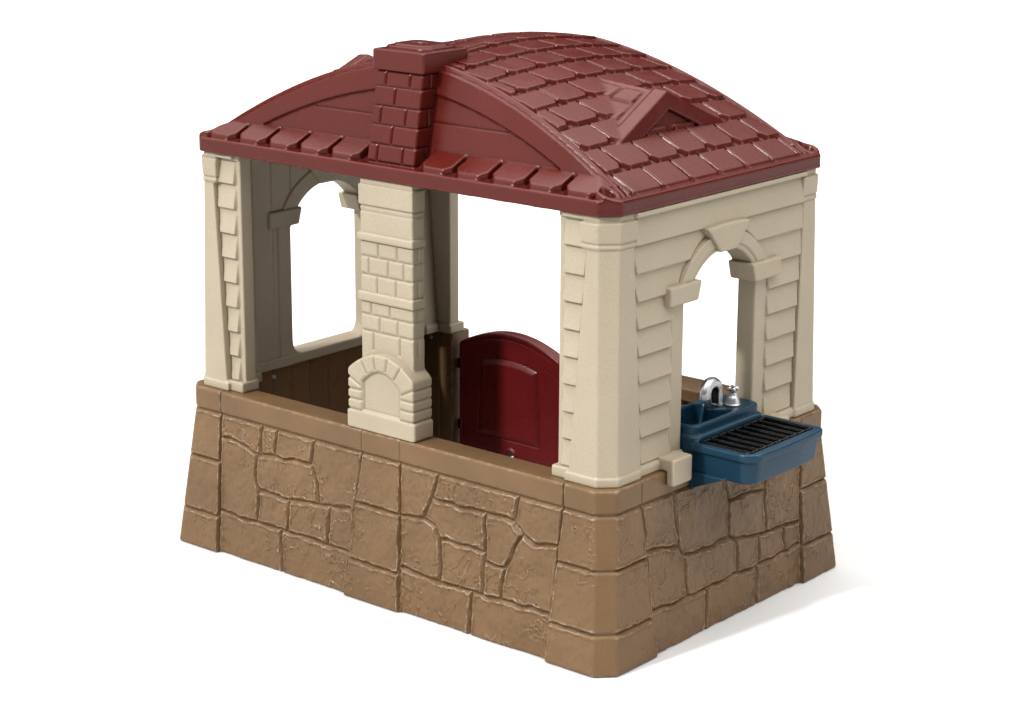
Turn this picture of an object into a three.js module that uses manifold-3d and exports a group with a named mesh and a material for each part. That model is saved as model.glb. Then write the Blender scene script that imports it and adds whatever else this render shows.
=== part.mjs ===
// Plastic playhouse: a moulded stone-pattern base with a half door, two end walls with arched windows,
// a fireplace column, a shingled roof with a chimney, and an outdoor sink and grill tray.
// Millimetres, +Z up. The origin is on the ground, under the centre of the whole object; the tray is
// on the +X end and the fireplace column is on the -Y side.
import * as THREE from "three";
import { mergeVertices } from "three/addons/utils/BufferGeometryUtils.js";
import { ConvexGeometry } from "three/addons/geometries/ConvexGeometry.js";
import Module from "manifold-3d";

const wasm = await Module();
wasm.setup();

// ---------- driving dimensions ----------
const GAP = 0.3; // assembly clearance between neighbouring pieces
const SKIN = 2.6; // wall thickness of the hollow moulded pieces

// Half sizes in x and y, and the corner chamfer, of the base's battered ring.
const BASE_FOOT = { x: 648, y: 444.5, cut: 36 };
const BASE_TOP = { x: 612.5, y: 405, cut: 30 };
const BASE_HEIGHT = 375;
const BAND_Z = 323; // underside of the plain band along the base's top
const FIELD_SET_BACK = 11; // how far the stone fields lie behind the pilasters at the ground
const CORNER_PILASTER = { foot: { x: 485, y: 271 }, top: { x: 500, y: 291 } }; // their inner edges
const MIDDLE_PILASTER = { foot: 82, top: 56 }; // half widths
const ROOM = { x: 554, y: 338 }; // half sizes of the room inside the base
const SEAM_X = 500; // joint between the end pieces and the front and back panels
const SHELF = { x: -80, y: 309, z: 345 }; // door end, inner edge and underside of the shelf on the back panel

const DOOR = { left: -441, right: -112, bottom: 76, shoulder: 353, crown: 399, y: 345, thick: 43 };
const DOOR_NOTCH = { x: -272, z: 85, radius: 14 }; // round-topped finger notch under the door
const DOOR_SKIN = 7; // thickness left between the hinge pockets and the door's inner face
const HINGE = { x: -430, y: 366.5, barrel: 14, ear: 13, pin: 5, pinLength: 50, clear: 2 };
const EAR_Z = [[121, 147], [281, 307]]; // heights of the two lugs on the door post
const DOOR_POST_X = -454; // free edge of the left end piece, beside the door
const DOORWAY_RIGHT = -107;
const THRESHOLD_Z = 45;

const WALL_BOTTOM = BASE_HEIGHT + GAP;
const TONGUE = {
  bottom: 337,
  clear: 0.6,
  back: { x0: 505, x1: 548, y: 370 },
  end: { x: 586, y0: 160, y1: 210 },
};
const SPIGOT = { inner: ROOM.y + SKIN + 1, outer: 378, half: 20, reach: 42, clear: 0.6 };
const SPIGOT_Z = [100, 275];

const ROOF_UNDERSIDE = 919;
const WALL_TOP = ROOF_UNDERSIDE - GAP;
const WALL = { inner: 546, outer: 586, board: 594 }; // end wall faces in x
const BOARD = { first: 398.5, pitch: 56.5, count: 9 };
const RETURN_WALL = { x: 455, inner: 332, outer: 376 };
const CAPITAL_Z = 850;
// Plans of the corner pillars: x of the inner edge, front face and outer edge, then y of the foot of the
// front face, of the chamfer's end and of the side.
const PILLAR = { bottom: [[496, 570, 600], [386, 356, 288]], top: [[530, 560, 590], [378, 348, 300]] };
const CAPITAL = { bottom: [[518, 560, 592], [381, 349, 296]], top: [[514, 562, 594], [383, 351, 294]] };
const FOOT = { plan: [[489, 573, 603], [389, 359, 282]], returnEnd: 450, returnY: 381 };
const WINDOW = { half: 128, radius: 134, centreZ: 666, frame: 42, sill: 398 };
const IMPOST = { z0: 712, z1: 752, in: 95, out: 198, face: 606 };
const KEYSTONE = { bottomHalf: 31, topHalf: 79, top: 855, face: 604 };
const SILL_BLOCK = { y0: 147, y1: 213, face: 633, top: 402, lip: 613, bottom: 345 };

const COLUMN = { half: 75, front: -380, back: -343, bandFront: -385, bands: [[655, 676], [786, 803]] };
const HEARTH = { half: 95, front: -404, top: 548, drop: 42, plinthHalf: 99, plinthTop: 415 };
const FIREBOX = { half: 55, bottom: 420, top: 512, drop: 30, floor: -398 };
const COLUMN_TONGUE = { half: 40, front: -372 };
const COLUMN_PEG = { half: 20, y0: -375, y1: -355, height: 12, clear: 0.6 };

const ROOF = { x: 596, y: 385.5, cut: 33, rimTop: 951, flange: 5, skin: 3 };
const GABLE = { footY: 330, apexY: 283, footZ: 951, ridgeZ: 1160, halfX: 585 };
const BARGE = { width: 56, end: 500, proud: 5, sunk: 3 }; // the raised band along the top of a gable
const RIDGE_RISE = 28; // how much the ridge's middle stands above its ends
const SKIRT = { foot: [383, 948], lip: [379, 966], top: [321, 994], back: [314, 948], x: 556, gapX: 84 };
const DORMER = { x: 460, y: 203, z: 1013, apexX: 438, apexZ: 1104, backX: 255, backZ: 1121 };
const CHIMNEY = { half: 67, frontFoot: -366, frontTop: -333, backFoot: -250, backTop: -212 };
const CHIMNEY_CAP = { z: 1142, top: 1186, half: 72, front: -339, back: -200, middleY: -268 };
const CHIMNEY_LID = { halfX: 62, halfY: 52, cut: 30, rise: 10, draw: 6, recess: 14 };

const TRAY = { inner: 618, outer: 770, half: 136, top: 420, rim: 401, bottom: 352, bow: 5 };
const TRAY_BODY_INSET = 7; // how far the tray's body lies inside its rim
const GUSSET = { inner: 613, outer: 692, bottom: 320, y0: 98, y1: 120, y2: 129, sole: 617 };
const SINK = { x0: 500, x1: 617.5, half: 122, top: 449 };
// The basin's back edge in x, its two ends in y, and how much its near and right walls slope.
const BASIN = { back: 604, floor: 398, y0: -108, floorY: 18, rimY: 27, floorX: 520, rimX: 512 };
const GRATE = { x0: 626, x1: 750, half: 119, z0: 408, z1: 422, bars: 9, frame: 7, bar: 10, proud: 3 };
const SPOUT = { x: 560, y: 42, bend: 27, centre: 480, tip: 472, width: 24, thick: 19, flange: 12,
  flangeHeight: 6 };
const VALVE = { x: 582, y: 65, radius: 18, height: 28 };
const KNOB = { hub: 6, height: 12, balls: 4, ball: 5.5, orbit: 8 };

const SCREW = { head: 7, rise: 3.5, shank: 2.5, length: 20, clear: 0.6 };
const WALL_SCREW = { z: 354, endY: 185, returnX: 526 };
const ROOF_SCREW = { x: 562, y: 352, z: 937, length: 36, post: 15, recess: 10.5 };
const BASE_SCREW_X = 480;
const TRAY_SCREW = { x: 617, y: 113, z: 334, length: 16 };
const CHIMNEY_SCREW = { x: 40, y: -351, length: 18, boss: 10, bossHeight: 26 };
const DRAIN_RADIUS = 6;

// ---------- materials ----------
const plastic = (color, roughness) => new THREE.MeshStandardMaterial({ color, roughness, metalness: 0 });
const brownPlastic = plastic(0x94785c, 0.62);
const creamPlastic = plastic(0xcdc0a2, 0.6);
const roofPlastic = plastic(0x7c3631, 0.42);
const doorPlastic = plastic(0x6d1c1f, 0.4);
const bluePlastic = plastic(0x3d6f92, 0.4);
const blackPlastic = plastic(0x181518, 0.45);
const silverPlastic = new THREE.MeshStandardMaterial({ color: 0xc9c9cb, roughness: 0.3, metalness: 0.6 });
const screwSteel = new THREE.MeshStandardMaterial({ color: 0xb4b6ba, roughness: 0.35, metalness: 1 });

// ---------- solids from three.js geometry ----------
function solid(geometry) {
  const bare = geometry.clone();
  for (const name of Object.keys(bare.attributes))
    if (name !== "position") bare.deleteAttribute(name);
  const merged = mergeVertices(bare, 1e-3);
  return new wasm.Manifold(
    new wasm.Mesh({
      numProp: 3,
      vertProperties: merged.attributes.position.array,
      triVerts: new Uint32Array(merged.index.array),
    }),
  );
}

function box(x0, x1, y0, y1, z0, z1) {
  const geometry = new THREE.BoxGeometry(x1 - x0, y1 - y0, z1 - z0);
  return solid(geometry.translate((x0 + x1) / 2, (y0 + y1) / 2, (z0 + z1) / 2));
}

// A box whose y range is given for the +Y side and reflected for the other.
const sideBox = (x0, x1, side, y0, y1, z0, z1) =>
  box(x0, x1, Math.min(side * y0, side * y1), Math.max(side * y0, side * y1), z0, z1);

const hull = (points) => solid(new ConvexGeometry(points.map((p) => new THREE.Vector3(...p))));
const union = (solids) => solids.reduce((all, one) => all.add(one));

// A prism along x, y or z: the outline is in (y, z), (x, z) or (x, y).
const PRISM_BASIS = {
  x: [[0, 1, 0], [0, 0, 1], [1, 0, 0]],
  y: [[1, 0, 0], [0, 0, 1], [0, -1, 0]],
  z: [[1, 0, 0], [0, 1, 0], [0, 0, 1]],
};
function prism(axis, outline, from, to) {
  const shape = new THREE.Shape(outline.map(([a, b]) => new THREE.Vector2(a, b)));
  const geometry = new THREE.ExtrudeGeometry(shape, { depth: to - from, bevelEnabled: false });
  const [a, b, c] = PRISM_BASIS[axis].map((v) => new THREE.Vector3(...v));
  geometry.applyMatrix4(new THREE.Matrix4().makeBasis(a, b, c));
  const start = axis === "y" ? to : from;
  geometry.translate(axis === "x" ? start : 0, axis === "y" ? start : 0, axis === "z" ? start : 0);
  return solid(geometry);
}

// A cylinder centred on a point, along a unit direction.
function cylinder(centre, direction, radius, length, segments = 12) {
  const geometry = new THREE.CylinderGeometry(radius, radius, length, segments);
  const turn = new THREE.Quaternion();
  turn.setFromUnitVectors(new THREE.Vector3(0, 1, 0), new THREE.Vector3(...direction));
  return solid(geometry.applyQuaternion(turn).translate(...centre));
}

// A rectangle with chamfered corners, as eight points at one height.
function chamferedRing(halfX, halfY, cut, z) {
  const ring = [];
  for (const [sx, sy] of [[1, 1], [-1, 1], [-1, -1], [1, -1]])
    ring.push([sx * (halfX - cut), sy * halfY, z], [sx * halfX, sy * (halfY - cut), z]);
  return ring;
}

// Points along y = f(x) from x0 to x1, ends included.
function curvePoints(f, x0, x1, steps) {
  return Array.from({ length: steps + 1 }, (_, i) => {
    const x = x0 + ((x1 - x0) * i) / steps;
    return [x, f(x)];
  });
}

// ---------- the model's nodes ----------
const house = new THREE.Group();
const CENTRE_SHIFT = -(TRAY.outer + TRAY.bow - BASE_FOOT.x) / 2; // the origin is mid-way along the object
house.position.x = CENTRE_SHIFT;

function addNode(name, made, material) {
  const mesh = made.getMesh();
  const geometry = new THREE.BufferGeometry();
  const stride = mesh.numProp;
  const positions = new Float32Array(mesh.numVert * 3);
  for (let i = 0; i < mesh.numVert; i++)
    positions.set(mesh.vertProperties.subarray(i * stride, i * stride + 3), i * 3);
  geometry.setAttribute("position", new THREE.BufferAttribute(positions, 3));
  geometry.setIndex(new THREE.BufferAttribute(mesh.triVerts, 1));
  geometry.computeVertexNormals();
  const node = new THREE.Mesh(geometry, material);
  node.name = name;
  house.add(node);
  return node;
}

// ---------- screws ----------
// Every screw is listed once; the pieces it passes are drilled from the same list.
const screws = [];
function planScrew(name, position, direction, length = SCREW.length) {
  const [at, way] = [position, direction].map((v) => new THREE.Vector3(...v));
  screws.push({ name, at, direction: way, length });
}
function planScrews() {
  for (const [end, sx] of [["left", -1], ["right", 1]])
    for (const [side, sy] of [["front", -1], ["back", 1]]) {
      const { z, endY, returnX } = WALL_SCREW;
      planScrew(`wall_screw_${end}_${side}_end`, [sx * ROOM.x, sy * endY, z], [-sx, 0, 0]);
      planScrew(`wall_screw_${end}_${side}_return`, [sx * returnX, sy * ROOM.y, z], [0, -sy, 0]);
      planScrew(`roof_screw_${end}_${side}`, [sx * ROOF_SCREW.x, sy * ROOF_SCREW.y, ROOF_SCREW.z], [0, 0, 1],
        ROOF_SCREW.length);
    }
  for (const [side, sy] of [["front", -1], ["back", 1]])
    planScrew(`tray_screw_${side}_right`, [TRAY_SCREW.x, sy * TRAY_SCREW.y, TRAY_SCREW.z], [1, 0, 0],
      TRAY_SCREW.length);
  SPIGOT_Z.forEach((z, i) => {
    planScrew(`base_screw_front_left_${i + 1}`, [-BASE_SCREW_X, -ROOM.y, z], [0, 1, 0]);
    planScrew(`base_screw_front_right_${i + 1}`, [BASE_SCREW_X, -ROOM.y, z], [0, 1, 0]);
    planScrew(`base_screw_back_right_${i + 1}`, [BASE_SCREW_X, ROOM.y, z], [0, -1, 0]);
  });
  planScrew("column_screw", [0, -ROOM.y, WALL_SCREW.z], [0, 1, 0]);
  for (const [end, sx] of [["left", -1], ["right", 1]])
    planScrew(`chimney_screw_${end}`, [sx * CHIMNEY_SCREW.x, CHIMNEY_SCREW.y, ROOF.rimTop - ROOF.skin],
      [0, 0, -1], CHIMNEY_SCREW.length);
}

// Drills every screw whose name starts with one of the names; a hole is open under the head.
function drillScrews(made, names) {
  const open = 3;
  const holes = screws
    .filter((screw) => names.some((name) => screw.name.startsWith(name)))
    .map((screw) => {
      const length = screw.length + 1 + open;
      const centre = screw.at.clone().addScaledVector(screw.direction, open - length / 2);
      return cylinder(centre.toArray(), screw.direction.toArray(), SCREW.shank + SCREW.clear, length);
    });
  return holes.reduce((rest, hole) => rest.subtract(hole), made);
}

function addScrews() {
  const { head, rise, shank } = SCREW;
  for (const screw of screws) {
    const profile = [[0, -screw.length], [shank, 2 - screw.length], [shank, 0], [head, 0],
      [head * 0.7, rise], [0, rise]];
    const lathe = new THREE.LatheGeometry(profile.map(([r, y]) => new THREE.Vector2(r, y)), 10);
    const mesh = addNode(screw.name, solid(lathe), screwSteel);
    mesh.position.copy(screw.at).addScaledVector(screw.direction, GAP);
    mesh.quaternion.setFromUnitVectors(new THREE.Vector3(0, 1, 0), screw.direction);
  }
}

// ---------- base ----------
// The whole battered ring, moved in by the given amount on every face.
function baseRing(inset) {
  const setBack = FIELD_SET_BACK + inset;
  const field = hull([
    ...chamferedRing(BASE_FOOT.x - setBack, BASE_FOOT.y - setBack, BASE_FOOT.cut, inset),
    ...chamferedRing(BASE_TOP.x - inset, BASE_TOP.y - inset, BASE_TOP.cut, BAND_Z),
  ]);
  const band = hull([
    ...chamferedRing(BASE_TOP.x - inset, BASE_TOP.y - inset, BASE_TOP.cut, BAND_Z - 2),
    ...chamferedRing(BASE_TOP.x - inset, BASE_TOP.y - inset, BASE_TOP.cut, BASE_HEIGHT - inset),
  ]);
  const room = box(-ROOM.x - inset, ROOM.x + inset, -ROOM.y - inset, ROOM.y + inset, -1, BASE_HEIGHT + 1);
  return union([field, band, ...pilasters(inset)]).subtract(room);
}

// Four corner pilasters, and one in the middle of the front and of the back.
function pilasters(inset) {
  const made = [];
  const cutInset = inset * 0.4;
  for (const sx of [-1, 1])
    for (const sy of [-1, 1]) {
      const corner = (face, inner, z) => [
        [sx * (inner.x + inset), sy * (face.y - inset), z],
        [sx * (face.x - face.cut - cutInset), sy * (face.y - inset), z],
        [sx * (face.x - inset), sy * (face.y - face.cut - cutInset), z],
        [sx * (face.x - inset), sy * (inner.y + inset), z],
        [sx * (inner.x + inset), sy * (inner.y + inset), z],
      ];
      made.push(hull([...corner(BASE_FOOT, CORNER_PILASTER.foot, inset),
        ...corner(BASE_TOP, CORNER_PILASTER.top, BAND_Z)]));
    }
  for (const sy of [-1, 1]) {
    const middle = (half, y, z) => [-1, 1].flatMap((s) => [[s * (half - inset), sy * (y - inset), z],
      [s * (half - inset), sy * ROOM.y, z]]);
    made.push(hull([...middle(MIDDLE_PILASTER.foot, BASE_FOOT.y, inset),
      ...middle(MIDDLE_PILASTER.top, BASE_TOP.y, BAND_Z)]));
  }
  return made;
}

// Hollow piece of the ring: the part of it inside the regions, with a skin all round.
function baseShell(regions, extra = () => []) {
  const region = (inset) => union(regions.map(([x0, x1, y0, y1, z0, z1]) =>
    box(x0 + inset, x1 - inset, y0 + inset, y1 - inset, z0 + inset, z1 - inset)));
  const piece = (inset) => union([baseRing(inset).intersect(region(inset)), ...extra(inset)]);
  return piece(0).subtract(piece(SKIN));
}

// Blocks on the end pieces' joint faces, which plug into the front and back panels.
const spigots = (side, grow) => SPIGOT_Z.map((z) =>
  sideBox(SEAM_X - SPIGOT.reach - grow, SEAM_X + 1, side, SPIGOT.inner - grow, SPIGOT.outer + grow,
    z - SPIGOT.half - grow, z + SPIGOT.half + grow));

// Tongues under a wall (on the +X end) and under the column, and the sockets for them in the base's top.
function tongues(grow) {
  const tongue = (x0, x1, side, y0, y1) => sideBox(x0 - grow, x1 + grow, side, y0 - grow, y1 + grow,
    TONGUE.bottom - grow, WALL_BOTTOM + 1);
  const { back, end } = TONGUE;
  return [-1, 1].flatMap((side) => [
    tongue(back.x0, back.x1, side, ROOM.y + SKIN + 1, back.y),
    tongue(ROOM.x + SKIN + 1, end.x, side, end.y0, end.y1),
  ]);
}
const columnTongue = (grow) => box(-COLUMN_TONGUE.half - grow, COLUMN_TONGUE.half + grow,
  COLUMN_TONGUE.front - grow, -(ROOM.y + SKIN + 1) + grow, TONGUE.bottom - grow, WALL_BOTTOM + 1);

// An end piece in +X coordinates; the left one is its mirror image and reaches on to the door post.
const BEYOND = 700; // outside the whole base
function baseEnd(backX) {
  const regions = [[SEAM_X, BEYOND, -BEYOND, BEYOND, 0, BASE_HEIGHT + 9]];
  if (backX < SEAM_X) regions.push([backX, BEYOND, 0, BEYOND, 0, BASE_HEIGHT + 9]);
  const back = backX === SEAM_X ? spigots(1, 0) : hingeEars();
  return union([baseShell(regions), ...spigots(-1, 0), ...back]).subtract(union(tongues(TONGUE.clear)));
}

// Ears beside the doorway that carry the hinge pins, in mirrored (+X) coordinates.
function hingeEars() {
  const { y, ear, pin } = HINGE;
  const [x, root] = [-HINGE.x, 8 - DOOR_POST_X];
  return EAR_Z.map(([z0, z1]) => {
    const centre = [x, y, (z0 + z1) / 2];
    const nose = cylinder(centre, [0, 0, 1], ear, z1 - z0, 16);
    const bore = cylinder(centre, [0, 0, 1], pin + 0.5, 2 * (z1 - z0));
    return box(x, root, y - ear, y + ear, z0, z1).add(nose).subtract(bore);
  });
}

function baseFront() {
  const sockets = spigots(-1, SPIGOT.clear);
  return baseShell([[-SEAM_X + GAP, SEAM_X - GAP, -BEYOND, 0, 0, BASE_HEIGHT + 9]])
    .subtract(union([...sockets, ...sockets.map(mirrorX)]))
    .subtract(columnTongue(TONGUE.clear));
}

// The back panel holds the shelf, and reaches under the door as a threshold.
function baseBack() {
  const [x0, x1] = [DOOR_POST_X + GAP, SEAM_X - GAP];
  const shelf = (inset) => [box(SHELF.x + inset, x1 - inset, SHELF.y + inset, ROOM.y + 2 * SKIN,
    SHELF.z + inset, BASE_HEIGHT - inset)];
  const regions = [[DOORWAY_RIGHT, x1, 0, BEYOND, 0, BASE_HEIGHT + 9], [x0, x1, 0, BEYOND, 0, THRESHOLD_Z]];
  return baseShell(regions, shelf).subtract(union(spigots(1, SPIGOT.clear)));
}

// A solid reflected in the plane x = 0, made from its own triangles.
function mirrorX(made) {
  const mesh = made.getMesh();
  const isX = (i) => i % mesh.numProp === 0;
  const positions = Float32Array.from(mesh.vertProperties, (value, i) => (isX(i) ? -value : value));
  const triVerts = Uint32Array.from(mesh.triVerts);
  for (let i = 0; i < triVerts.length; i += 3)
    [triVerts[i + 1], triVerts[i + 2]] = [triVerts[i + 2], triVerts[i + 1]];
  return new wasm.Manifold(new wasm.Mesh({ numProp: mesh.numProp, vertProperties: positions, triVerts }));
}

// ---------- door ----------
function doorSolid(inset) {
  const { left, right, bottom, shoulder, crown, y, thick } = DOOR;
  const middle = (left + right) / 2;
  const halfWidth = (right - left) / 2;
  const arch = (x) => crown - (crown - shoulder) * ((x - middle) / halfWidth) ** 2 - inset;
  const [x0, x1] = [left + inset, right - inset];
  const face = [[x0, bottom + 8], [x0 + 8, bottom + inset], [x1 - 8, bottom + inset], [x1, bottom + 8],
    ...curvePoints(arch, x1, x0, 10)];
  const [y0, y1] = [y + inset, y + thick - inset];
  const plan = [[x0, y0], [x1, y0], [x1, y1], [x0 + 13, y1], [x0, y1 - 13]];
  return prism("y", face, y0 - 1, y1 + 1).intersect(prism("z", plan, 0, 500));
}

// Boxes round the two ears, grown by a clearance, that leave a skin of the door's inner face.
const aroundEars = (grow, skin = 0) => EAR_Z.map(([z0, z1]) => box(HINGE.x - 40, HINGE.x + HINGE.ear + grow,
  DOOR.y + skin, HINGE.y + 30, z0 - grow, z1 + grow));

// A round pin through an ear and the barrel above or below it.
const hingePin = ([z0, z1], way, grow) => cylinder([HINGE.x, HINGE.y, (z0 + z1) / 2 + way * 12], [0, 0, 1],
  HINGE.pin + grow, HINGE.pinLength + 4 * grow);

function door() {
  const { x, y, barrel, clear, ear } = HINGE;
  const [low, high] = EAR_Z;
  const across = (radius) => cylinder([DOOR_NOTCH.x, y, DOOR_NOTCH.z], [0, 1, 0], radius, 2 * DOOR.thick, 16)
    .add(box(DOOR_NOTCH.x - radius, DOOR_NOTCH.x + radius, y - DOOR.thick, y + DOOR.thick, 0, DOOR_NOTCH.z));
  const barrels = [[DOOR.bottom, low[0] - clear], [high[1] + clear, DOOR.shoulder - 2]].map(([z0, z1]) =>
    cylinder([x, y, (z0 + z1) / 2], [0, 0, 1], barrel, z1 - z0, 16));
  const upperBarrelSeat = box(x - 40, x + ear, y - 30, y + 30, high[1] - 7, DOOR.crown + 9);
  const kept = [...aroundEars(clear + SKIN), upperBarrelSeat, across(DOOR_NOTCH.radius + SKIN)];
  const hollow = doorSolid(SKIN).subtract(union(kept));
  const drain = cylinder([DOOR.right - 40, y, DOOR.bottom], [0, 0, 1], DRAIN_RADIUS, 20);
  return doorSolid(0).subtract(union(aroundEars(clear, DOOR_SKIN))).add(union(barrels)).subtract(hollow)
    .subtract(union([across(DOOR_NOTCH.radius), drain, hingePin(low, -1, 0.4), hingePin(high, 1, 0.4)]));
}

// ---------- end walls, in +X coordinates ----------
// The corner pillar's outline at one height, on the front (-1) or back (1) side.
function pillarPlan(side, [[inner, face, outer], [foot, corner, flank]], z, inset = 0) {
  const [x0, x1] = [inner + inset, outer - inset];
  const [y0, y1, y2] = [foot - inset, corner, flank + inset];
  return [[x0, y0], [face, y0], [x1, y1], [x1, y2], [face - 10, y2], [x0, y0 - 46]]
    .map(([x, y]) => [x, side * y, z]);
}

function wallSolid(inset) {
  const [bottom, top] = [WALL_BOTTOM + inset, WALL_TOP - inset];
  const panelEnd = PILLAR.top[1][2] + 10;
  const pieces = [box(WALL.inner + inset, WALL.outer - inset, -panelEnd, panelEnd, bottom, top)];
  const { x, inner, outer } = RETURN_WALL;
  for (const side of [-1, 1]) {
    const plan = (outline, z) => pillarPlan(side, outline, z, inset);
    pieces.push(
      hull([...plan(PILLAR.bottom, bottom), ...plan(PILLAR.top, CAPITAL_Z + 4)]),
      hull([...plan(CAPITAL.bottom, CAPITAL_Z + inset), ...plan(CAPITAL.top, top)]),
      sideBox(x + inset, WALL.inner - 1, side, inner + inset, outer - inset, bottom, top),
    );
  }
  return union(pieces);
}

// Stepped boards on the outside of the end wall.
function siding() {
  const outline = [[WALL.outer - 4, BOARD.first]];
  for (let i = 0; i < BOARD.count; i++) {
    const z = BOARD.first + i * BOARD.pitch;
    outline.push([WALL.board, z], [WALL.outer, Math.min(z + BOARD.pitch, WALL_TOP - 1)]);
  }
  outline.push([WALL.outer - 4, WALL_TOP - 1]);
  return prism("y", outline, -305, 305);
}

// Plinth blocks along the bottom of the wall and of its pillars.
function feet(hasSill) {
  const [z0, z1] = [WALL_BOTTOM, BOARD.first];
  const made = [-1, 1].flatMap((side) => [
    hull([z0, z1].flatMap((z) => pillarPlan(side, FOOT.plan, z))),
    sideBox(FOOT.returnEnd, PILLAR.bottom[0][0] + 4, side, RETURN_WALL.inner - 4, FOOT.returnY, z0, z1),
    sideBox(WALL.inner - 4, WALL.board + 4, side, WINDOW.half, PILLAR.top[1][2], z0, z1),
  ]);
  const sill = box(WALL.inner - 4, FOOT.plan[0][2], -WINDOW.half - WINDOW.frame - 2,
    WINDOW.half + WINDOW.frame + 2, z0, z1);
  return hasSill ? [...made, sill] : made;
}

function windowOpening(grow, bottom) {
  const { half, radius, centreZ } = WINDOW;
  const r = radius + grow;
  const start = Math.acos((half + grow) / r);
  const arc = Array.from({ length: 17 }, (_, i) => {
    const angle = start + ((Math.PI - 2 * start) * i) / 16;
    return [r * Math.cos(angle), centreZ + r * Math.sin(angle)];
  });
  const outline = [[-half - grow, bottom - grow], [half + grow, bottom - grow], ...arc];
  return prism("x", outline, RETURN_WALL.x + 45, BASE_FOOT.x);
}

// The raised frame round a window, with its keystone.
function windowTrim(bottom) {
  const crown = WINDOW.centreZ + WINDOW.radius;
  const { bottomHalf, topHalf, top, face } = KEYSTONE;
  const zone = box(WALL.inner, WALL.board + 6, -300, 300, WALL_BOTTOM, crown + 2 * WINDOW.frame);
  const ring = windowOpening(WINDOW.frame, bottom + WINDOW.frame).intersect(zone);
  const outline = [[-bottomHalf, crown], [bottomHalf, crown], [topHalf, top], [-topHalf, top]];
  return ring.add(prism("x", outline, WALL.inner, face));
}

const imposts = () => [-1, 1].map((side) =>
  sideBox(WALL.inner + 2, IMPOST.face, side, IMPOST.in, IMPOST.out, IMPOST.z0, IMPOST.z1));

// Blocks under the window that lap over the edge of the base, on the tray's end.
const sillBlocks = () => [-1, 1].flatMap((side) => {
  const { y0, y1, face, top, lip, bottom } = SILL_BLOCK;
  return [sideBox(WALL.board - 4, face, side, y0, y1, WALL_BOTTOM, top),
    sideBox(lip, face, side, y0, y1, bottom, WALL_BOTTOM + 1)];
});

function endWall(hasSill) {
  const bottom = hasSill ? WINDOW.sill : WALL_BOTTOM - 2;
  const hollow = wallSolid(SKIN).subtract(windowOpening(SKIN, bottom));
  const faced = union([wallSolid(0), siding(), ...feet(hasSill), windowTrim(bottom)]).subtract(hollow)
    .subtract(windowOpening(0, bottom));
  const drains = [-1, 1].map((side) => cylinder([540, side * 352, WALL_TOP], [0, 0, 1], DRAIN_RADIUS, 12));
  const blocks = hasSill ? [] : sillBlocks();
  return union([faced, ...imposts(), ...tongues(0), ...blocks]).subtract(union(drains));
}

// ---------- fireplace column ----------
function columnSolid(inset) {
  const { half, top, drop, front } = HEARTH;
  const hearth = [[-half + inset, WALL_BOTTOM + inset], [half - inset, WALL_BOTTOM + inset],
    ...curvePoints((x) => top - drop * (x / half) ** 2 - inset, half - inset, -half + inset, 10)];
  return union([
    prism("y", hearth, front + inset, COLUMN.back - inset),
    box(-COLUMN.half + inset, COLUMN.half - inset, COLUMN.front + inset, COLUMN.back - inset,
      WALL_BOTTOM + inset, WALL_TOP - inset),
  ]);
}

function fireplaceColumn() {
  const { half, bottom, top, drop, floor } = FIREBOX;
  const bands = COLUMN.bands.map(([z0, z1]) =>
    box(-COLUMN.half - 4, COLUMN.half + 4, COLUMN.bandFront, COLUMN.back + 1, z0, z1));
  const plinth = box(-HEARTH.plinthHalf, HEARTH.plinthHalf, HEARTH.front, COLUMN.back + 1, WALL_BOTTOM,
    HEARTH.plinthTop);
  const firebox = prism("y", [[-half, bottom], [half, bottom],
    ...curvePoints((x) => top - drop * (x / half) ** 2, half, -half, 8)], HEARTH.front - 6, floor);
  const drain = cylinder([50, -362, WALL_TOP], [0, 0, 1], DRAIN_RADIUS, 12);
  return union([columnSolid(0), ...bands, plinth]).subtract(columnSolid(2 * SKIN)).subtract(firebox)
    .add(columnPeg(0)).add(columnTongue(0)).subtract(drain);
}

// The peg on top of the column, and the hole for it in the roof.
const columnPeg = (grow) => box(-COLUMN_PEG.half - grow, COLUMN_PEG.half + grow, COLUMN_PEG.y0 - grow,
  COLUMN_PEG.y1 + grow, WALL_TOP - 1 - grow, WALL_TOP + COLUMN_PEG.height + grow);

// ---------- roof ----------
const gableTop = (x) => GABLE.ridgeZ - 0.0814 * Math.abs(x) - 4.81e-4 * x * x;
const ridgeBulge = (y) => RIDGE_RISE * (1 - (y / 300) ** 2);
const slopeHeight = (x, y) => gableTop(x) + ridgeBulge(y) * (1 - Math.abs(x) / 590);

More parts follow.
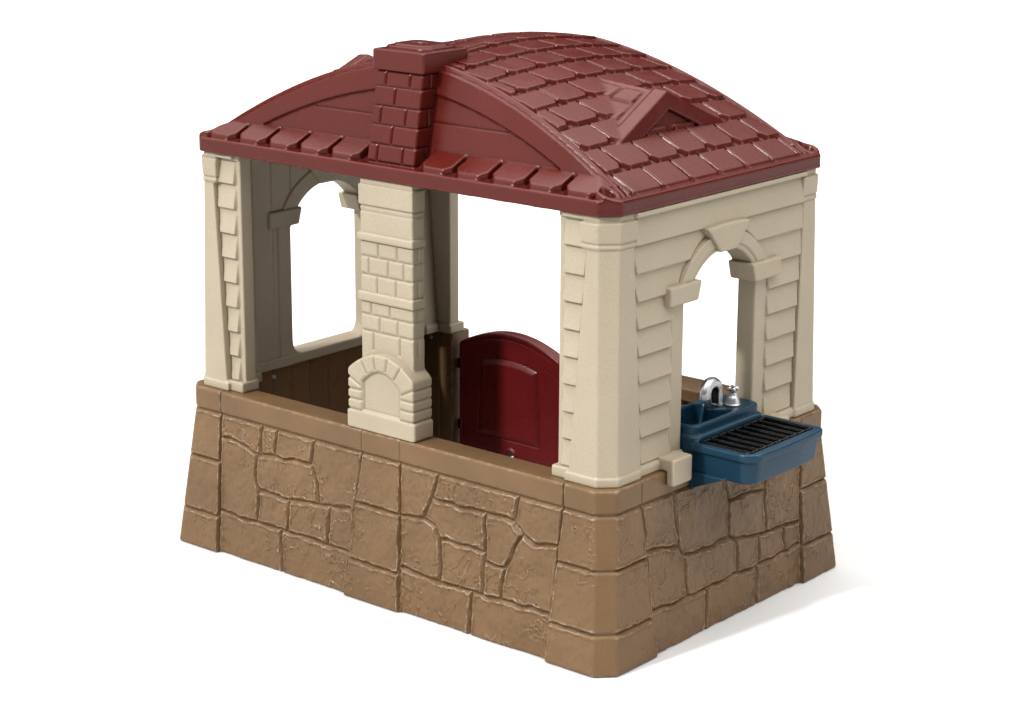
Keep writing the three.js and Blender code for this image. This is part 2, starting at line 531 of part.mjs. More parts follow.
// The curved vault as a closed grid: sloping top, flat underside, upright sides.
function vault(inset) {
  const [columns, rows] = [16, 6];
  const [halfX, halfY] = [GABLE.halfX - inset, GABLE.footY - inset];
  const floor = ROOF.rimTop - 8;
  const positions = [];
  const place = (i, j) => [-halfX + (2 * halfX * i) / columns, -halfY + (2 * halfY * j) / rows];
  for (let j = 0; j <= rows; j++)
    for (let i = 0; i <= columns; i++) {
      const [x, y] = place(i, j);
      positions.push(x, y, Math.max(slopeHeight(x, y) - inset * 1.1, floor + 2));
    }
  const topCount = positions.length / 3;
  for (let j = 0; j <= rows; j++)
    for (let i = 0; i <= columns; i++) positions.push(...place(i, j), floor);
  const top = (i, j) => j * (columns + 1) + i;
  const low = (i, j) => topCount + top(i, j);
  const triangles = [];
  const quad = (a, b, c, d) => triangles.push(a, b, c, a, c, d);
  for (let j = 0; j < rows; j++)
    for (let i = 0; i < columns; i++) {
      quad(top(i, j), top(i + 1, j), top(i + 1, j + 1), top(i, j + 1));
      quad(low(i, j), low(i, j + 1), low(i + 1, j + 1), low(i + 1, j));
    }
  for (let i = 0; i < columns; i++) {
    quad(low(i, 0), low(i + 1, 0), top(i + 1, 0), top(i, 0));
    quad(low(i + 1, rows), low(i, rows), top(i, rows), top(i + 1, rows));
  }
  for (let j = 0; j < rows; j++) {
    quad(low(0, j + 1), low(0, j), top(0, j), top(0, j + 1));
    quad(low(columns, j), low(columns, j + 1), top(columns, j + 1), top(columns, j));
  }
  const geometry = new THREE.BufferGeometry();
  geometry.setAttribute("position", new THREE.Float32BufferAttribute(positions, 3));
  geometry.setIndex(triangles);
  return solid(geometry).subtract(union([-1, 1].map((sy) => leaningWedge(sy, inset))));
}

// What lies outside a leaning gable face.
function leaningWedge(sy, inset) {
  const { footY, apexY, footZ, ridgeZ } = GABLE;
  const lean = (footY - apexY) / (ridgeZ - footZ);
  const yAt = (z) => footY - inset - (z - footZ) * lean;
  const [z0, z1] = [footZ - 50, ridgeZ + 140];
  const outline = [[sy * yAt(z0), z0], [sy * BEYOND, z0], [sy * BEYOND, z1], [sy * yAt(z1), z1]];
  return prism("x", sy > 0 ? outline : outline.reverse(), -BEYOND, BEYOND);
}

function dormer(sx, inset) {
  const { x, y, z, apexX, apexZ, backX, backZ } = DORMER;
  const sink = 40; // how far it reaches below the slope
  const [half, drop] = [y - 2.4 * inset, 1.1 * inset];
  return hull([
    [sx * (x - inset), -half, z], [sx * (x - inset), half, z],
    [sx * (apexX - inset), 0, apexZ - drop], [sx * (backX + inset), 0, backZ - drop],
    [sx * (x - inset), -half, z - sink], [sx * (x - inset), half, z - sink],
    [sx * (backX + inset), 0, backZ - sink],
  ]);
}

// The raised band along the top of a gable, laid on its leaning face.
function bargeBand(sy, grow) {
  const { footY, apexY, footZ, ridgeZ } = GABLE;
  const { width, end, proud, sunk } = BARGE;
  const up = new THREE.Vector3(0, sy * (apexY - footY), ridgeZ - footZ).normalize();
  const along = new THREE.Vector3(-sy, 0, 0);
  const out = new THREE.Vector3().crossVectors(along, up);
  const rise = (z) => (z - footZ) / up.z;
  const outer = curvePoints((x) => rise(gableTop(x) - 1 + grow), -end, end, 14);
  const inner = curvePoints((x) => rise(gableTop(x) - width - grow), end, -end, 14);
  const shape = new THREE.Shape([...outer, ...inner].reverse().map(([x, s]) => new THREE.Vector2(x, s)));
  const geometry = new THREE.ExtrudeGeometry(shape, { depth: sunk + proud + grow, bevelEnabled: false });
  geometry.translate(0, 0, -sunk).applyMatrix4(new THREE.Matrix4().makeBasis(along, up, out));
  return solid(geometry.translate(0, sy * footY, footZ));
}

// The sloping skirt between a gable's foot and the rim.
function skirt(sy, x0, x1, grow) {
  const outline = [SKIRT.foot, SKIRT.lip, SKIRT.top, SKIRT.back].map(([y, z], i) =>
    [sy * (y + grow), i === 1 || i === 2 ? z + grow : z]);
  return prism("x", sy > 0 ? outline : outline.reverse(), x0 - grow, x1 + grow);
}

function ridgeCap() {
  const top = (y) => GABLE.ridgeZ + ridgeBulge(y) + 3;
  const end = GABLE.apexY - 3;
  const outline = [...curvePoints(top, -end, end, 10), ...curvePoints((y) => top(y) - 9, end, -end, 10)];
  return prism("x", outline.reverse(), -26, 26);
}

function roofOuter(grow) {
  const { x, y, cut, rimTop } = ROOF;
  const bevel = 5;
  const rim = hull([...chamferedRing(x, y, cut, ROOF_UNDERSIDE),
    ...chamferedRing(x, y, cut, rimTop - bevel - 1 + grow),
    ...chamferedRing(x - bevel, y - bevel, cut, rimTop + grow)]);
  return union([rim, vault(-grow), dormer(-1, -grow), dormer(1, -grow), ridgeCap(),
    bargeBand(-1, grow), bargeBand(1, grow), skirt(-1, -SKIRT.x, -SKIRT.gapX, grow),
    skirt(-1, SKIRT.gapX, SKIRT.x, grow), skirt(1, -SKIRT.x, SKIRT.x, grow)]);
}

function roof() {
  const { x, y, cut, rimTop, flange, skin } = ROOF;
  const [low, high] = [ROOF_UNDERSIDE + flange, rimTop - skin];
  const shelf = 46; // width of the flange that rests on the walls
  const hollow = union([
    box(-x + shelf, x - shelf, -y + shelf, y - shelf, ROOF_UNDERSIDE - 1, low + 1),
    hull([...chamferedRing(x - skin, y - skin, cut, low), ...chamferedRing(x - skin, y - skin, cut, high)]),
    vault(skin), dormer(-1, skin + 2), dormer(1, skin + 2),
  ]);
  const spots = screws.filter((screw) => screw.name.startsWith("roof_screw")).map((screw) => screw.at);
  const posts = spots.map((at) =>
    cylinder([at.x, at.y, (low + high) / 2], [0, 0, 1], ROOF_SCREW.post, high - low + 4, 16));
  const recesses = spots.map((at) => cylinder([at.x, at.y, at.z + 30], [0, 0, 1], ROOF_SCREW.recess, 60, 16));
  return drillScrews(roofOuter(0).subtract(hollow).add(union(posts)).subtract(union(recesses))
    .subtract(columnPeg(COLUMN_PEG.clear)), ["roof_screw", "chimney_screw"]);
}

// ---------- chimney ----------
function chimneySolid(inset) {
  const { half, frontFoot, frontTop, backFoot, backTop } = CHIMNEY;
  const cap = CHIMNEY_CAP;
  const ring = (h, y0, y1, z) => [[-h, y0, z], [h, y0, z], [h, y1, z], [-h, y1, z]];
  return union([
    hull([...ring(half - inset, frontFoot + inset, backFoot, ROOF.rimTop - 2),
      ...ring(half - 2 - inset, frontTop + inset, backTop - inset, cap.z + 2)]),
    hull([...ring(cap.half - inset, cap.front + inset, cap.back - inset, cap.z + inset),
      ...ring(cap.half - inset, cap.front + 3 + inset, cap.back - 2 - inset, cap.top - inset)]),
  ]);
}

function chimney() {
  const { top, middleY } = CHIMNEY_CAP;
  const { halfX, halfY, cut, rise, draw, recess } = CHIMNEY_LID;
  const lidRings = [...chamferedRing(halfX, halfY, cut, top - 1),
    ...chamferedRing(halfX - draw, halfY - draw, cut - 2, top + rise)];
  const lid = hull(lidRings.map(([x, y, z]) => [x, y + middleY, z]));
  const dish = cylinder([0, middleY, top + rise - 1], [0, 0, 1], recess, 8, 16);
  const { boss, bossHeight } = CHIMNEY_SCREW;
  const foot = ROOF.rimTop - 2;
  const bosses = [-1, 1].map((side) => {
    const x = side * CHIMNEY_SCREW.x;
    return box(x - boss, x + boss, CHIMNEY.frontFoot + 1, CHIMNEY_SCREW.y + 13, foot, foot + bossHeight);
  });
  const made = chimneySolid(0).add(lid).subtract(dish).subtract(chimneySolid(SKIN)).add(union(bosses));
  // What lies inside the roof falls away, and the largest piece is the chimney.
  const [largest] = made.subtract(roofOuter(2 * GAP)).decompose().sort((a, b) => b.volume() - a.volume());
  return drillScrews(largest, ["chimney_screw"]);
}

// ---------- sink and grill tray ----------
// A slab whose outer edge bows out between two small chamfers.
function bowedSlab(outer, half, z0, z1) {
  const [inner, chamfer] = [TRAY.inner - 4, 14];
  const edge = curvePoints((y) => outer + TRAY.bow * (1 - (y / half) ** 2), chamfer - half, half - chamfer, 8)
    .map(([y, x]) => [x, y]);
  const outline = [[inner, -half], [outer - chamfer, -half], ...edge, [outer - chamfer, half], [inner, half]];
  return prism("z", outline, z0, z1);
}

// The bracket under one side of the tray, with its sole on the base.
function gusset(side) {
  const { inner, outer, bottom, y0, y1, y2, sole } = GUSSET;
  const top = TRAY.bottom + 1;
  const outline = [[inner, bottom], [sole, bottom - 2], [outer, top], [inner, top]];
  const plate = prism("y", outline, Math.min(side * y1, side * y2), Math.max(side * y1, side * y2));
  return plate.add(sideBox(inner, sole, side, y0, y2, bottom, top));
}

function tray() {
  const { outer, half, top, rim, bottom } = TRAY;
  const wall = 7;
  const inset = TRAY_BODY_INSET;
  const underside = box(624, outer - inset - wall, inset + 5 - half, half - inset - 5, bottom - 1, rim - 2);
  const body = bowedSlab(outer - inset, half - inset, bottom, rim + 1).subtract(underside);
  const well = box(GRATE.x0 - 3, GRATE.x1 + 3, -GRATE.half - 3, GRATE.half + 3, GRATE.z0 - GAP, top + 1);
  const lip = bowedSlab(outer, half, rim, top);
  return union([lip, body, gusset(-1), gusset(1)]).subtract(well).add(sinkBlock());
}

function basin(grow) {
  const { back, floor, y0, floorY, rimY, floorX, rimX } = BASIN;
  const ring = (x, y, z) => [[x - grow, y0 - grow, z], [back + grow, y0 - grow, z],
    [back + grow, y + grow, z], [x - grow, y + grow, z]];
  return hull([...ring(floorX, floorY, floor - grow), ...ring(rimX, rimY, SINK.top + 1)]);
}

function sinkBlock() {
  const { x0, x1, half, top } = SINK;
  const hollow = box(x0 + SKIN, x1 - SKIN, -half + SKIN, half - SKIN, WALL_BOTTOM - 1, top - SKIN)
    .subtract(basin(SKIN));
  return box(x0, x1 + 1, -half, half, WALL_BOTTOM, top).subtract(hollow).subtract(basin(0));
}

function grillGrate() {
  const { x0, x1, half, z0, z1, bars, frame, bar, proud } = GRATE;
  const opening = box(x0 + frame, x1 - frame, frame - half, half - frame, z0 - 1, z1);
  const rods = Array.from({ length: bars }, (_, i) => {
    const y = proud - half + ((2 * half - 2 * proud) * i) / (bars - 1);
    return box(x0 + 1, x1 - 1, Math.max(y - bar / 2, -half), Math.min(y + bar / 2, half), z0 + proud, z1);
  });
  return union([box(x0, x1, -half, half, z0, z1 - proud).subtract(opening), ...rods]);
}

// ---------- faucet ----------
function faucetSpout() {
  const { x, y, bend, centre, tip, width, thick, flange, flangeHeight } = SPOUT;
  const base = SINK.top + GAP;
  const round = Array.from({ length: 7 }, (_, i) => (i * Math.PI) / 6)
    .map((angle) => [y - bend + bend * Math.cos(angle), centre + bend * Math.sin(angle)]);
  const points = [[y, base + 2], ...round, [y - 2 * bend, tip]];
  const path = new THREE.CatmullRomCurve3(points.map(([py, pz]) => new THREE.Vector3(x, py, pz)));
  const section = new THREE.Shape();
  section.absellipse(0, 0, thick / 2, width / 2, 0, Math.PI * 2);
  const settings = { steps: 14, curveSegments: 6, extrudePath: path, bevelEnabled: false };
  return solid(new THREE.ExtrudeGeometry(section, settings))
    .add(cylinder([x, y, base + flangeHeight / 2], [0, 0, 1], flange, flangeHeight, 16));
}

function faucetValve() {
  const { x, y, radius, height } = VALVE;
  const profile = [[0, 0], [radius, 0], [radius, 3], [radius - 2, 4], [radius - 4, 14],
    [radius - 10, height], [0, height]];
  const lathe = new THREE.LatheGeometry(profile.map(([r, z]) => new THREE.Vector2(r, z)), 18);
  return solid(lathe.rotateX(Math.PI / 2).translate(x, y, SINK.top + GAP));
}

function faucetKnob() {
  const { x, y } = VALVE;
  const { hub, height, balls, ball, orbit } = KNOB;
  const z = SINK.top + 2 * GAP + VALVE.height;
  const rounds = Array.from({ length: balls }, (_, i) => {
    const angle = ((i + 0.5) * 2 * Math.PI) / balls;
    const sphere = new THREE.SphereGeometry(ball, 10, 7);
    sphere.translate(x + orbit * Math.cos(angle), y + orbit * Math.sin(angle), z + height / 2 + 1);
    return solid(sphere);
  });
  return union([cylinder([x, y, z + height / 2], [0, 0, 1], hub, height), ...rounds]);
}

// ---------- assembly ----------
planScrews();

addNode("base_left_end", drillScrews(mirrorX(baseEnd(-DOOR_POST_X)),
  ["wall_screw_left", "base_screw_front_left"]), brownPlastic);
addNode("base_right_end", drillScrews(baseEnd(SEAM_X),
  ["wall_screw_right", "base_screw_front_right", "base_screw_back_right", "tray_screw"]), brownPlastic);
addNode("base_front_panel", drillScrews(baseFront(), ["base_screw_front", "column_screw"]), brownPlastic);
addNode("base_back_panel", drillScrews(baseBack(), ["base_screw_back"]), brownPlastic);
addNode("half_door", door(), doorPlastic);
addNode("hinge_pin_lower", hingePin(EAR_Z[0], -1, 0), blackPlastic);
addNode("hinge_pin_upper", hingePin(EAR_Z[1], 1, 0), blackPlastic);
addNode("wall_left_end", drillScrews(mirrorX(endWall(true)),
  ["wall_screw_left", "roof_screw_left"]), creamPlastic);
addNode("wall_right_end", drillScrews(endWall(false),
  ["wall_screw_right", "roof_screw_right"]), creamPlastic);
addNode("fireplace_column", drillScrews(fireplaceColumn(), ["column_screw"]), creamPlastic);
addNode("roof", roof(), roofPlastic);
addNode("chimney", chimney(), roofPlastic);
addNode("sink_grill_tray", drillScrews(tray(), ["tray_screw"]), bluePlastic);
addNode("grill_grate", grillGrate(), blackPlastic);
addNode("faucet_spout", faucetSpout(), silverPlastic);
addNode("faucet_valve", faucetValve(), silverPlastic);
addNode("faucet_knob", faucetKnob(), silverPlastic);
addScrews();

const playhouse = new THREE.Group();
playhouse.add(house);
export default playhouse;
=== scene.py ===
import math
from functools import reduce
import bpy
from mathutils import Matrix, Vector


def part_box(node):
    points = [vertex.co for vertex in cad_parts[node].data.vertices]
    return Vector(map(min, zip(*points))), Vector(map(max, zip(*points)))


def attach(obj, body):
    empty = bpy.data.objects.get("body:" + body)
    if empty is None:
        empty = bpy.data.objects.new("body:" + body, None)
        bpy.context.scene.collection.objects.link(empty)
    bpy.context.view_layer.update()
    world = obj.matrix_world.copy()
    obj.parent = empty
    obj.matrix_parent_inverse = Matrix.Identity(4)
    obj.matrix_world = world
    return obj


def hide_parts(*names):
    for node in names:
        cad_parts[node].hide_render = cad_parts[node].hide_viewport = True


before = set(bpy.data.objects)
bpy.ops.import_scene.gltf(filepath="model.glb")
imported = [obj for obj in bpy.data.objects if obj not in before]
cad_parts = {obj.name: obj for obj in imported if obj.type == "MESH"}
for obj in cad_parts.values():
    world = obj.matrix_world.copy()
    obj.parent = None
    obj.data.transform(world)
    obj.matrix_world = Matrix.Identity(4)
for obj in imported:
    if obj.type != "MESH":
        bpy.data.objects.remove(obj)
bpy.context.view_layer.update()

# A moulded plastic playhouse. Each moulding is a signed-distance field in millimetres, measured from the
# middle of the base at ground level and negative inside, which is turned into a mesh in metres.
from types import SimpleNamespace as Sizes

import bpy
import numpy as np
from mathutils import Matrix, Vector

MM = 0.001
HOUSE_X = (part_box("base_left_end")[0].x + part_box("base_right_end")[1].x) / 2
COARSER = 1
ROOT_2 = math.sqrt(2)


def extent(node):
    """The (low, high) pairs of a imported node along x, y and z, in house millimetres."""
    low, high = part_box(node)
    shift = (HOUSE_X, 0, 0)
    return [((a - s) / MM, (b - s) / MM) for a, b, s in zip(low, high, shift)]


# ---------- fields ----------
def both(a, b, blend=4.0):
    """Intersection of two fields with the edge between them rounded."""
    share = np.clip(0.5 + (a - b) / (2 * blend), 0, 1)
    return b + (a - b) * share + blend * share * (1 - share)


def either(a, b, blend=4.0):
    """Union of two fields with a fillet between them."""
    return -both(-a, -b, blend)


def all_of(blend, *fields):
    """What lies inside all the fields, with their edges rounded one after another."""
    return reduce(lambda a, b: both(a, b, blend), fields)


def any_of(blend, *fields):
    """All the fields together, with fillets where they meet."""
    return reduce(lambda a, b: either(a, b, blend), fields)


def carve(a, b, blend=2.0):
    """The first field without the second."""
    return both(a, -b, blend)


def span(v, low, high):
    """The field of low < v < high."""
    return np.abs(v - (low + high) / 2) - (high - low) / 2


def block(g, x, y, z, blend=3.0):
    """A rounded box."""
    return all_of(blend, span(g.x, *x), span(g.y, *y), span(g.z, *z))


def rod(u, v, radius):
    """A round bar seen end on."""
    return np.hypot(u, v) - radius


def ramp(v, width):
    """0 below zero, 1 above width and a smooth step between."""
    t = np.clip(v / width, 0, 1)
    return t * t * (3 - 2 * t)


def notch(distance, width, depth):
    """The height of a V groove with crisp shoulders, at a distance from its line."""
    return -depth * (1 - np.clip(np.abs(distance) / width, 0, 1)) ** 1.4


def noise(u, v, size, seed):
    """Smooth random values between -1 and 1 over (u, v), with bumps about size across."""
    table = np.random.default_rng(seed).uniform(-1, 1, (61, 67)).astype(np.float32)
    u, v = u / size + 600, v / size + 600
    i, j = np.floor(u).astype(int), np.floor(v).astype(int)
    f, g = ramp(u - i, 1), ramp(v - j, 1)
    row = lambda b: table[i % 61, (j + b) % 67] * (1 - f) + table[(i + 1) % 61, (j + b) % 67] * f
    return row(0) * (1 - g) + row(1) * g


def distance_to(lines, u, v):
    """Distance in the (u, v) plane to the nearest of some polylines."""
    best = np.full(np.broadcast_shapes(u.shape, v.shape), 1e3, np.float32)
    for line in lines:
        for (a, b), (c, d) in zip(line, line[1:]):
            du, dv = c - a, d - b
            t = np.clip(((u - a) * du + (v - b) * dv) / (du * du + dv * dv), 0, 1)
            best = np.minimum(best, np.hypot(u - a - t * du, v - b - t * dv))
    return best


def rounded(a, b, radius):
    """A round corner whose centre is where both distances are zero."""
    return np.hypot(np.maximum(a, 0), np.maximum(b, 0)) + np.minimum(np.maximum(a, b), 0) - radius


def slab_plan(u, v, half_u, half_v, radius):
    """A rectangle with round corners, seen along the third axis."""
    return rounded(np.abs(u) - half_u + radius, np.abs(v) - half_v + radius, radius)


class Grid:
    """Sample points round a box, as x, y and z arrays that broadcast together."""

    def __init__(self, x, y, z, step):
        self.step = step * COARSER
        self.axes = [self._axis(*side) for side in (x, y, z)]
        self.x = self.axes[0][:, None, None]
        self.y = self.axes[1][None, :, None]
        self.z = self.axes[2][None, None, :]

    def _axis(self, low, high):
        count = math.ceil((high - low) / self.step) + 5
        return (low + self.step * (np.arange(count) - 2)).astype(np.float32)


def trimmed(values, axis, low, high):
    """The array without its first low and last high layers along an axis."""
    cut = [slice(None)] * 3
    cut[axis] = slice(low, values.shape[axis] - high)
    return values[tuple(cut)]


def surface(field, grid):
    """Surface nets: one vertex in each cell that the surface crosses, one quad over each crossed edge."""
    inside = field < 0
    corners = [(i, j, k) for i in (0, 1) for j in (0, 1) for k in (0, 1)]
    size = [n - 1 for n in field.shape]
    count = np.zeros(size, np.int8)
    for i, j, k in corners:
        count += inside[i : i + size[0], j : j + size[1], k : k + size[2]]
    cells = np.nonzero((count > 0) & (count < 8))
    ids = np.full(size, -1, np.int32)
    ids[cells] = np.arange(len(cells[0]))
    at = {c: field[tuple(n + d for n, d in zip(cells, c))] for c in corners}
    total = np.zeros((len(cells[0]), 3), np.float32)
    hits = np.zeros(len(cells[0]), np.float32)
    for low in corners:
        for axis in range(3):
            if low[axis]:
                continue
            high = tuple(1 if n == axis else low[n] for n in range(3))
            crossed = (at[low] < 0) != (at[high] < 0)
            part = at[low] / np.where(crossed, at[low] - at[high], 1)
            hits += crossed
            for n in range(3):
                total[:, n] += crossed * (part if n == axis else low[n])
    places = total / hits[:, None] + np.stack(cells, 1)
    points = np.stack([grid.axes[n][0] + places[:, n] * grid.step for n in range(3)], 1)
    quads = []
    for axis in range(3):
        a, b = (axis + 1) % 3, (axis + 2) % 3
        first, second = trimmed(inside, axis, 0, 1), trimmed(inside, axis, 1, 0)
        crossed = trimmed(trimmed(first != second, a, 1, 1), b, 1, 1)
        where = np.stack(np.nonzero(crossed))
        where[a] += 1
        where[b] += 1
        leaving = first[tuple(where)]
        back_a, back_b = where.copy(), where.copy()
        back_a[a] -= 1
        back_b[b] -= 1
        back_both = back_a.copy()
        back_both[b] -= 1
        ring = np.stack([ids[tuple(w)] for w in (back_both, back_b, where, back_a)], 1)
        ring[~leaving] = ring[~leaving][:, ::-1]
        quads.append(ring)
    return points, np.concatenate(quads)


def mesh_object(name, points, quads):
    """A smooth-shaded mesh from house millimetres."""
    mesh = bpy.data.meshes.new(name)
    mesh.vertices.add(len(points))
    mesh.vertices.foreach_set("co", (points * MM + np.array([HOUSE_X, 0, 0])).astype(np.float32).ravel())
    mesh.loops.add(quads.size)
    mesh.loops.foreach_set("vertex_index", quads.astype(np.int32).ravel())
    mesh.polygons.add(len(quads))
    mesh.polygons.foreach_set("loop_start", np.arange(0, quads.size, 4, dtype=np.int32))
    mesh.polygons.foreach_set("use_smooth", np.ones(len(quads), bool))
    mesh.update(calc_edges=True)
    obj = bpy.data.objects.new(name, mesh)
    bpy.context.scene.collection.objects.link(obj)
    return obj


# ---------- base ----------
BASE_HEIGHT = extent("base_front_panel")[2][1]
BAND_Z = 323  # underside of the plain band
FRONT = Sizes(foot=444.5, top=405)  # distance of the front and back faces from the middle
END = Sizes(foot=648, top=612.5)
CORNER = Sizes(foot=1056.5, top=987.5)  # |x| + |y| of the chamfered corners
SET_BACK = 11  # of the stone fields from the pilasters, at the ground
MIDDLE = Sizes(foot=82, top=56)  # half width of the pilaster in the middle of each long side
SEAM = Sizes(foot=485, top=500)  # |x| of the joint between the end pieces and the panels
END_SEAM = Sizes(foot=271, top=291)  # |y| where the fields of the ends stop
PILASTER_JOINTS = (85, 212, BAND_Z)
JOINT = Sizes(width=6.5, depth=6.5, lip=3.5, wobble=3)  # of the grooves between the stones
BASE_Y = (-447, 447)  # y range a little wider than the base
ROOM = (554, 338)
FIT = 0.4  # play at the joints between the base's pieces
DOORWAY = (-454, -107)
THRESHOLD = 45
SHELF = Sizes(end=-80, far=520, edge=309, under=345)  # inside the back panel
PLANK = 62  # pitch of the planks inside the base and the walls

# Joints between the stones, as lines in (along the side, up).
FRONT_LEFT_JOINTS = [
    [(-490, 272), (-445, 270), (-380, 255), (-325, 260), (-205, 265)],
    [(-362, 330), (-366, 258)], [(-318, 330), (-320, 260)], [(-195, 330), (-205, 265)],
    [(-380, 255), (-381, 205), (-367, 172), (-370, 100)], [(-367, 172), (-275, 170), (-180, 180)],
    [(-205, 265), (-188, 240), (-180, 180), (-80, 190)], [(-270, 168), (-270, 102)],
    [(-143, 184), (-145, 98)], [(-500, 100), (-415, 95), (-290, 99), (-190, 99), (-70, 94)],
    [(-290, 98), (-284, -20)],
]
FRONT_RIGHT_JOINTS = [
    [(168, 330), (152, 268), (130, 218), (60, 208)], [(152, 268), (250, 265), (300, 270), (376, 270)],
    [(387, 330), (376, 270), (400, 245), (435, 234), (510, 246)],
    [(130, 218), (168, 210), (182, 185), (186, 95)], [(182, 185), (245, 186), (302, 184)],
    [(300, 268), (305, 98)], [(400, 245), (360, 165), (355, 98)], [(304, 164), (360, 165)],
    [(60, 100), (130, 95), (210, 91), (275, 94), (405, 96), (500, 102)], [(275, 94), (277, -20)],
]
END_JOINTS = [
    [(-180, 335), (-175, 265), (-170, 207), (-155, 172), (-150, 90)], [(-300, 228), (-225, 216), (-170, 207)],
    [(-5, 335), (10, 258), (6, 182), (35, 167)], [(-153, 184), (-85, 175), (6, 178)],
    [(10, 258), (85, 255), (142, 246)], [(145, 335), (145, 152)], [(35, 167), (120, 152), (290, 140)],
    [(115, 152), (115, 86)], [(35, 167), (35, 92)], [(215, 142), (215, 90)],
    [(-300, 97), (-160, 90), (-85, 88), (15, 90), (115, 86), (300, 92)],
    [(-80, 88), (-94, -20)], [(105, 86), (100, -20)],
]


def battered(z, face):
    """Position of a face that leans in from the ground to the band."""
    return face.top + (face.foot - face.top) * np.clip(1 - z / BAND_Z, 0, 1.1)


def ridged(u, v, size, seed, sharp=0.25):
    """Thin crests along the zero lines of a noise, between 0 and 1."""
    from_line = np.abs(noise(u, v, size, seed) + 0.35 * noise(u, v, size / 3, seed + 1))
    crest = np.clip(1 - from_line / sharp, 0, 1)
    return crest * crest


def stone_skin(u, z, seed):
    """The chiselled surface of the stones: broad waves, flaked patches, slaty streaks and a few cracks."""
    rough = 1.6 * noise(u, z, 58, seed) + 1.2 * noise(u, z, 24, seed + 1) + 0.7 * noise(u, z, 9, seed + 2)
    patchy = ramp(noise(u, z, 60, seed + 4) + 0.1, 0.4)
    flakes = 2.2 * patchy * (ridged(u, z, 24, seed + 14, 0.2) - 0.2)
    streaky = ramp(noise(u, z, 90, seed + 6), 0.4)
    streaks = 0.9 * streaky * ridged(u + 0.55 * z, 0.35 * z, 15, seed + 3)
    cracked = ramp(noise(u, z, 80, seed + 7) - 0.1, 0.3)
    crack = ridged(u - 0.6 * z, 0.6 * z, 46, seed + 5, 0.07)
    return rough + flakes + streaks + 2.6 * crack * cracked


def course_distance(z):
    """Distance to the nearest level joint of the pilasters."""
    return np.min([np.abs(z - height) for height in PILASTER_JOINTS], axis=0)


def base_face(u, z, face, middle, corner, joints, seed):
    """Where one side of the base lies: fields of stones between courses of pilaster stones."""
    to_corner = np.abs(u) - battered(z, corner)
    seam = to_corner if middle is None else np.maximum(to_corner, battered(z, middle) - np.abs(u))
    in_field = ramp(-seam, 5)
    wavy_u = u + JOINT.wobble * noise(u, z, 31, seed + 8)
    wavy_z = z + JOINT.wobble * noise(u, z, 29, seed + 9)
    width = JOINT.width + 2 * noise(u, z, 15, seed + 10) + 1.2 * noise(u, z, 5, seed + 11)
    to_joint = np.minimum(distance_to(joints, wavy_u, wavy_z), np.minimum(np.abs(z - BAND_Z), -1.2 * seam))
    to_course = np.minimum(course_distance(z), 1.8 * np.maximum(seam, 0))
    nearest = np.where(seam < 0, to_joint, to_course)
    below = ramp(BAND_Z - z, 3)
    skin = stone_skin(u, z, seed) * ramp(nearest - 2, 7) * np.where(seam < 0, 1, 0.75)
    lip_height = 1.6 + 1.5 * noise(u, z, 12, seed + 13)
    lip = np.clip(1 - np.abs(nearest - width - 1) / JOINT.lip, 0, 1) * lip_height
    stones = notch(nearest, width, JOINT.depth) + lip + skin
    relief = below * stones + (1 - below) * notch(z - BAND_Z, 6, 5)
    groove = notch(seam, 4, 2.5)
    made = battered(z, face) - SET_BACK * in_field * np.clip(1 - z / BAND_Z, 0, 1.1) + relief + groove
    return np.minimum(made, face.foot - 0.2)


def base_corner(z):
    """Where the chamfered corners lie, with the pilaster's courses running round them."""
    return battered(z, CORNER) + 1.4 * notch(course_distance(z), 8, 4)


def base_ring(g):
    """The whole ring of the base, without the room."""
    left = g.x < 0
    front = base_face(g.x, g.z, FRONT, MIDDLE, SEAM, FRONT_LEFT_JOINTS + FRONT_RIGHT_JOINTS, 3)
    back_left = base_face(-g.x, g.z, FRONT, MIDDLE, SEAM, FRONT_RIGHT_JOINTS, 47)
    back_right = base_face(g.x, g.z, FRONT, MIDDLE, SEAM, FRONT_RIGHT_JOINTS, 31)
    ends = [base_face(g.y, g.z, END, None, END_SEAM, END_JOINTS, seed) for seed in (11, 23)]
    to_long = np.abs(g.y) - np.where(g.y < 0, front, np.where(left, back_left, back_right))
    to_end = np.abs(g.x) - np.where(left, *ends)
    to_corner = (np.abs(g.x) + np.abs(g.y) - base_corner(g.z)) / ROOT_2
    ring = both(both(to_long, to_end, 5), to_corner, 4)
    return both(ring, span(g.z, 0, BASE_HEIGHT), 7)


def planks(u):
    """Shallow grooves between planks on an inside face."""
    return notch((u + PLANK / 2) % PLANK - PLANK / 2, 5, 2)


def base_end(side, back_edge):
    """An end piece of the base, on the side where x has that sign; it turns the front and back corners."""
    x = sorted((side * (back_edge - 2), side * (END.foot + 2)))
    g = Grid(x, BASE_Y, (0, BASE_HEIGHT), 2)
    room = np.maximum(np.abs(g.x) - ROOM[0] + planks(g.y), np.abs(g.y) - ROOM[1] + planks(g.x))
    seam = np.where((g.y > 0) & (back_edge < SEAM.foot), back_edge, battered(g.z, SEAM) + FIT)
    piece = both(carve(base_ring(g), room, 4), seam - side * g.x, 3)
    return piece, g


def base_left():
    """The left end piece, with the door's hinge ears on its back edge."""
    piece, g = base_end(-1, -DOORWAY[0])
    hinge_x, hinge_y = DOOR_AXIS
    radius = HINGE.ear
    for low, high in HINGE_EARS:
        arm = np.maximum(span(g.x, DOORWAY[0] - 8, hinge_x), span(g.y, hinge_y - radius, hinge_y + radius))
        ear = np.minimum(rod(g.x - hinge_x, g.y - hinge_y, radius), arm)
        piece = either(piece, both(ear, span(g.z, low, high), 2), 3)
    return carve(piece, rod(g.x - hinge_x, g.y - hinge_y, HINGE.ear_bore), 1), g


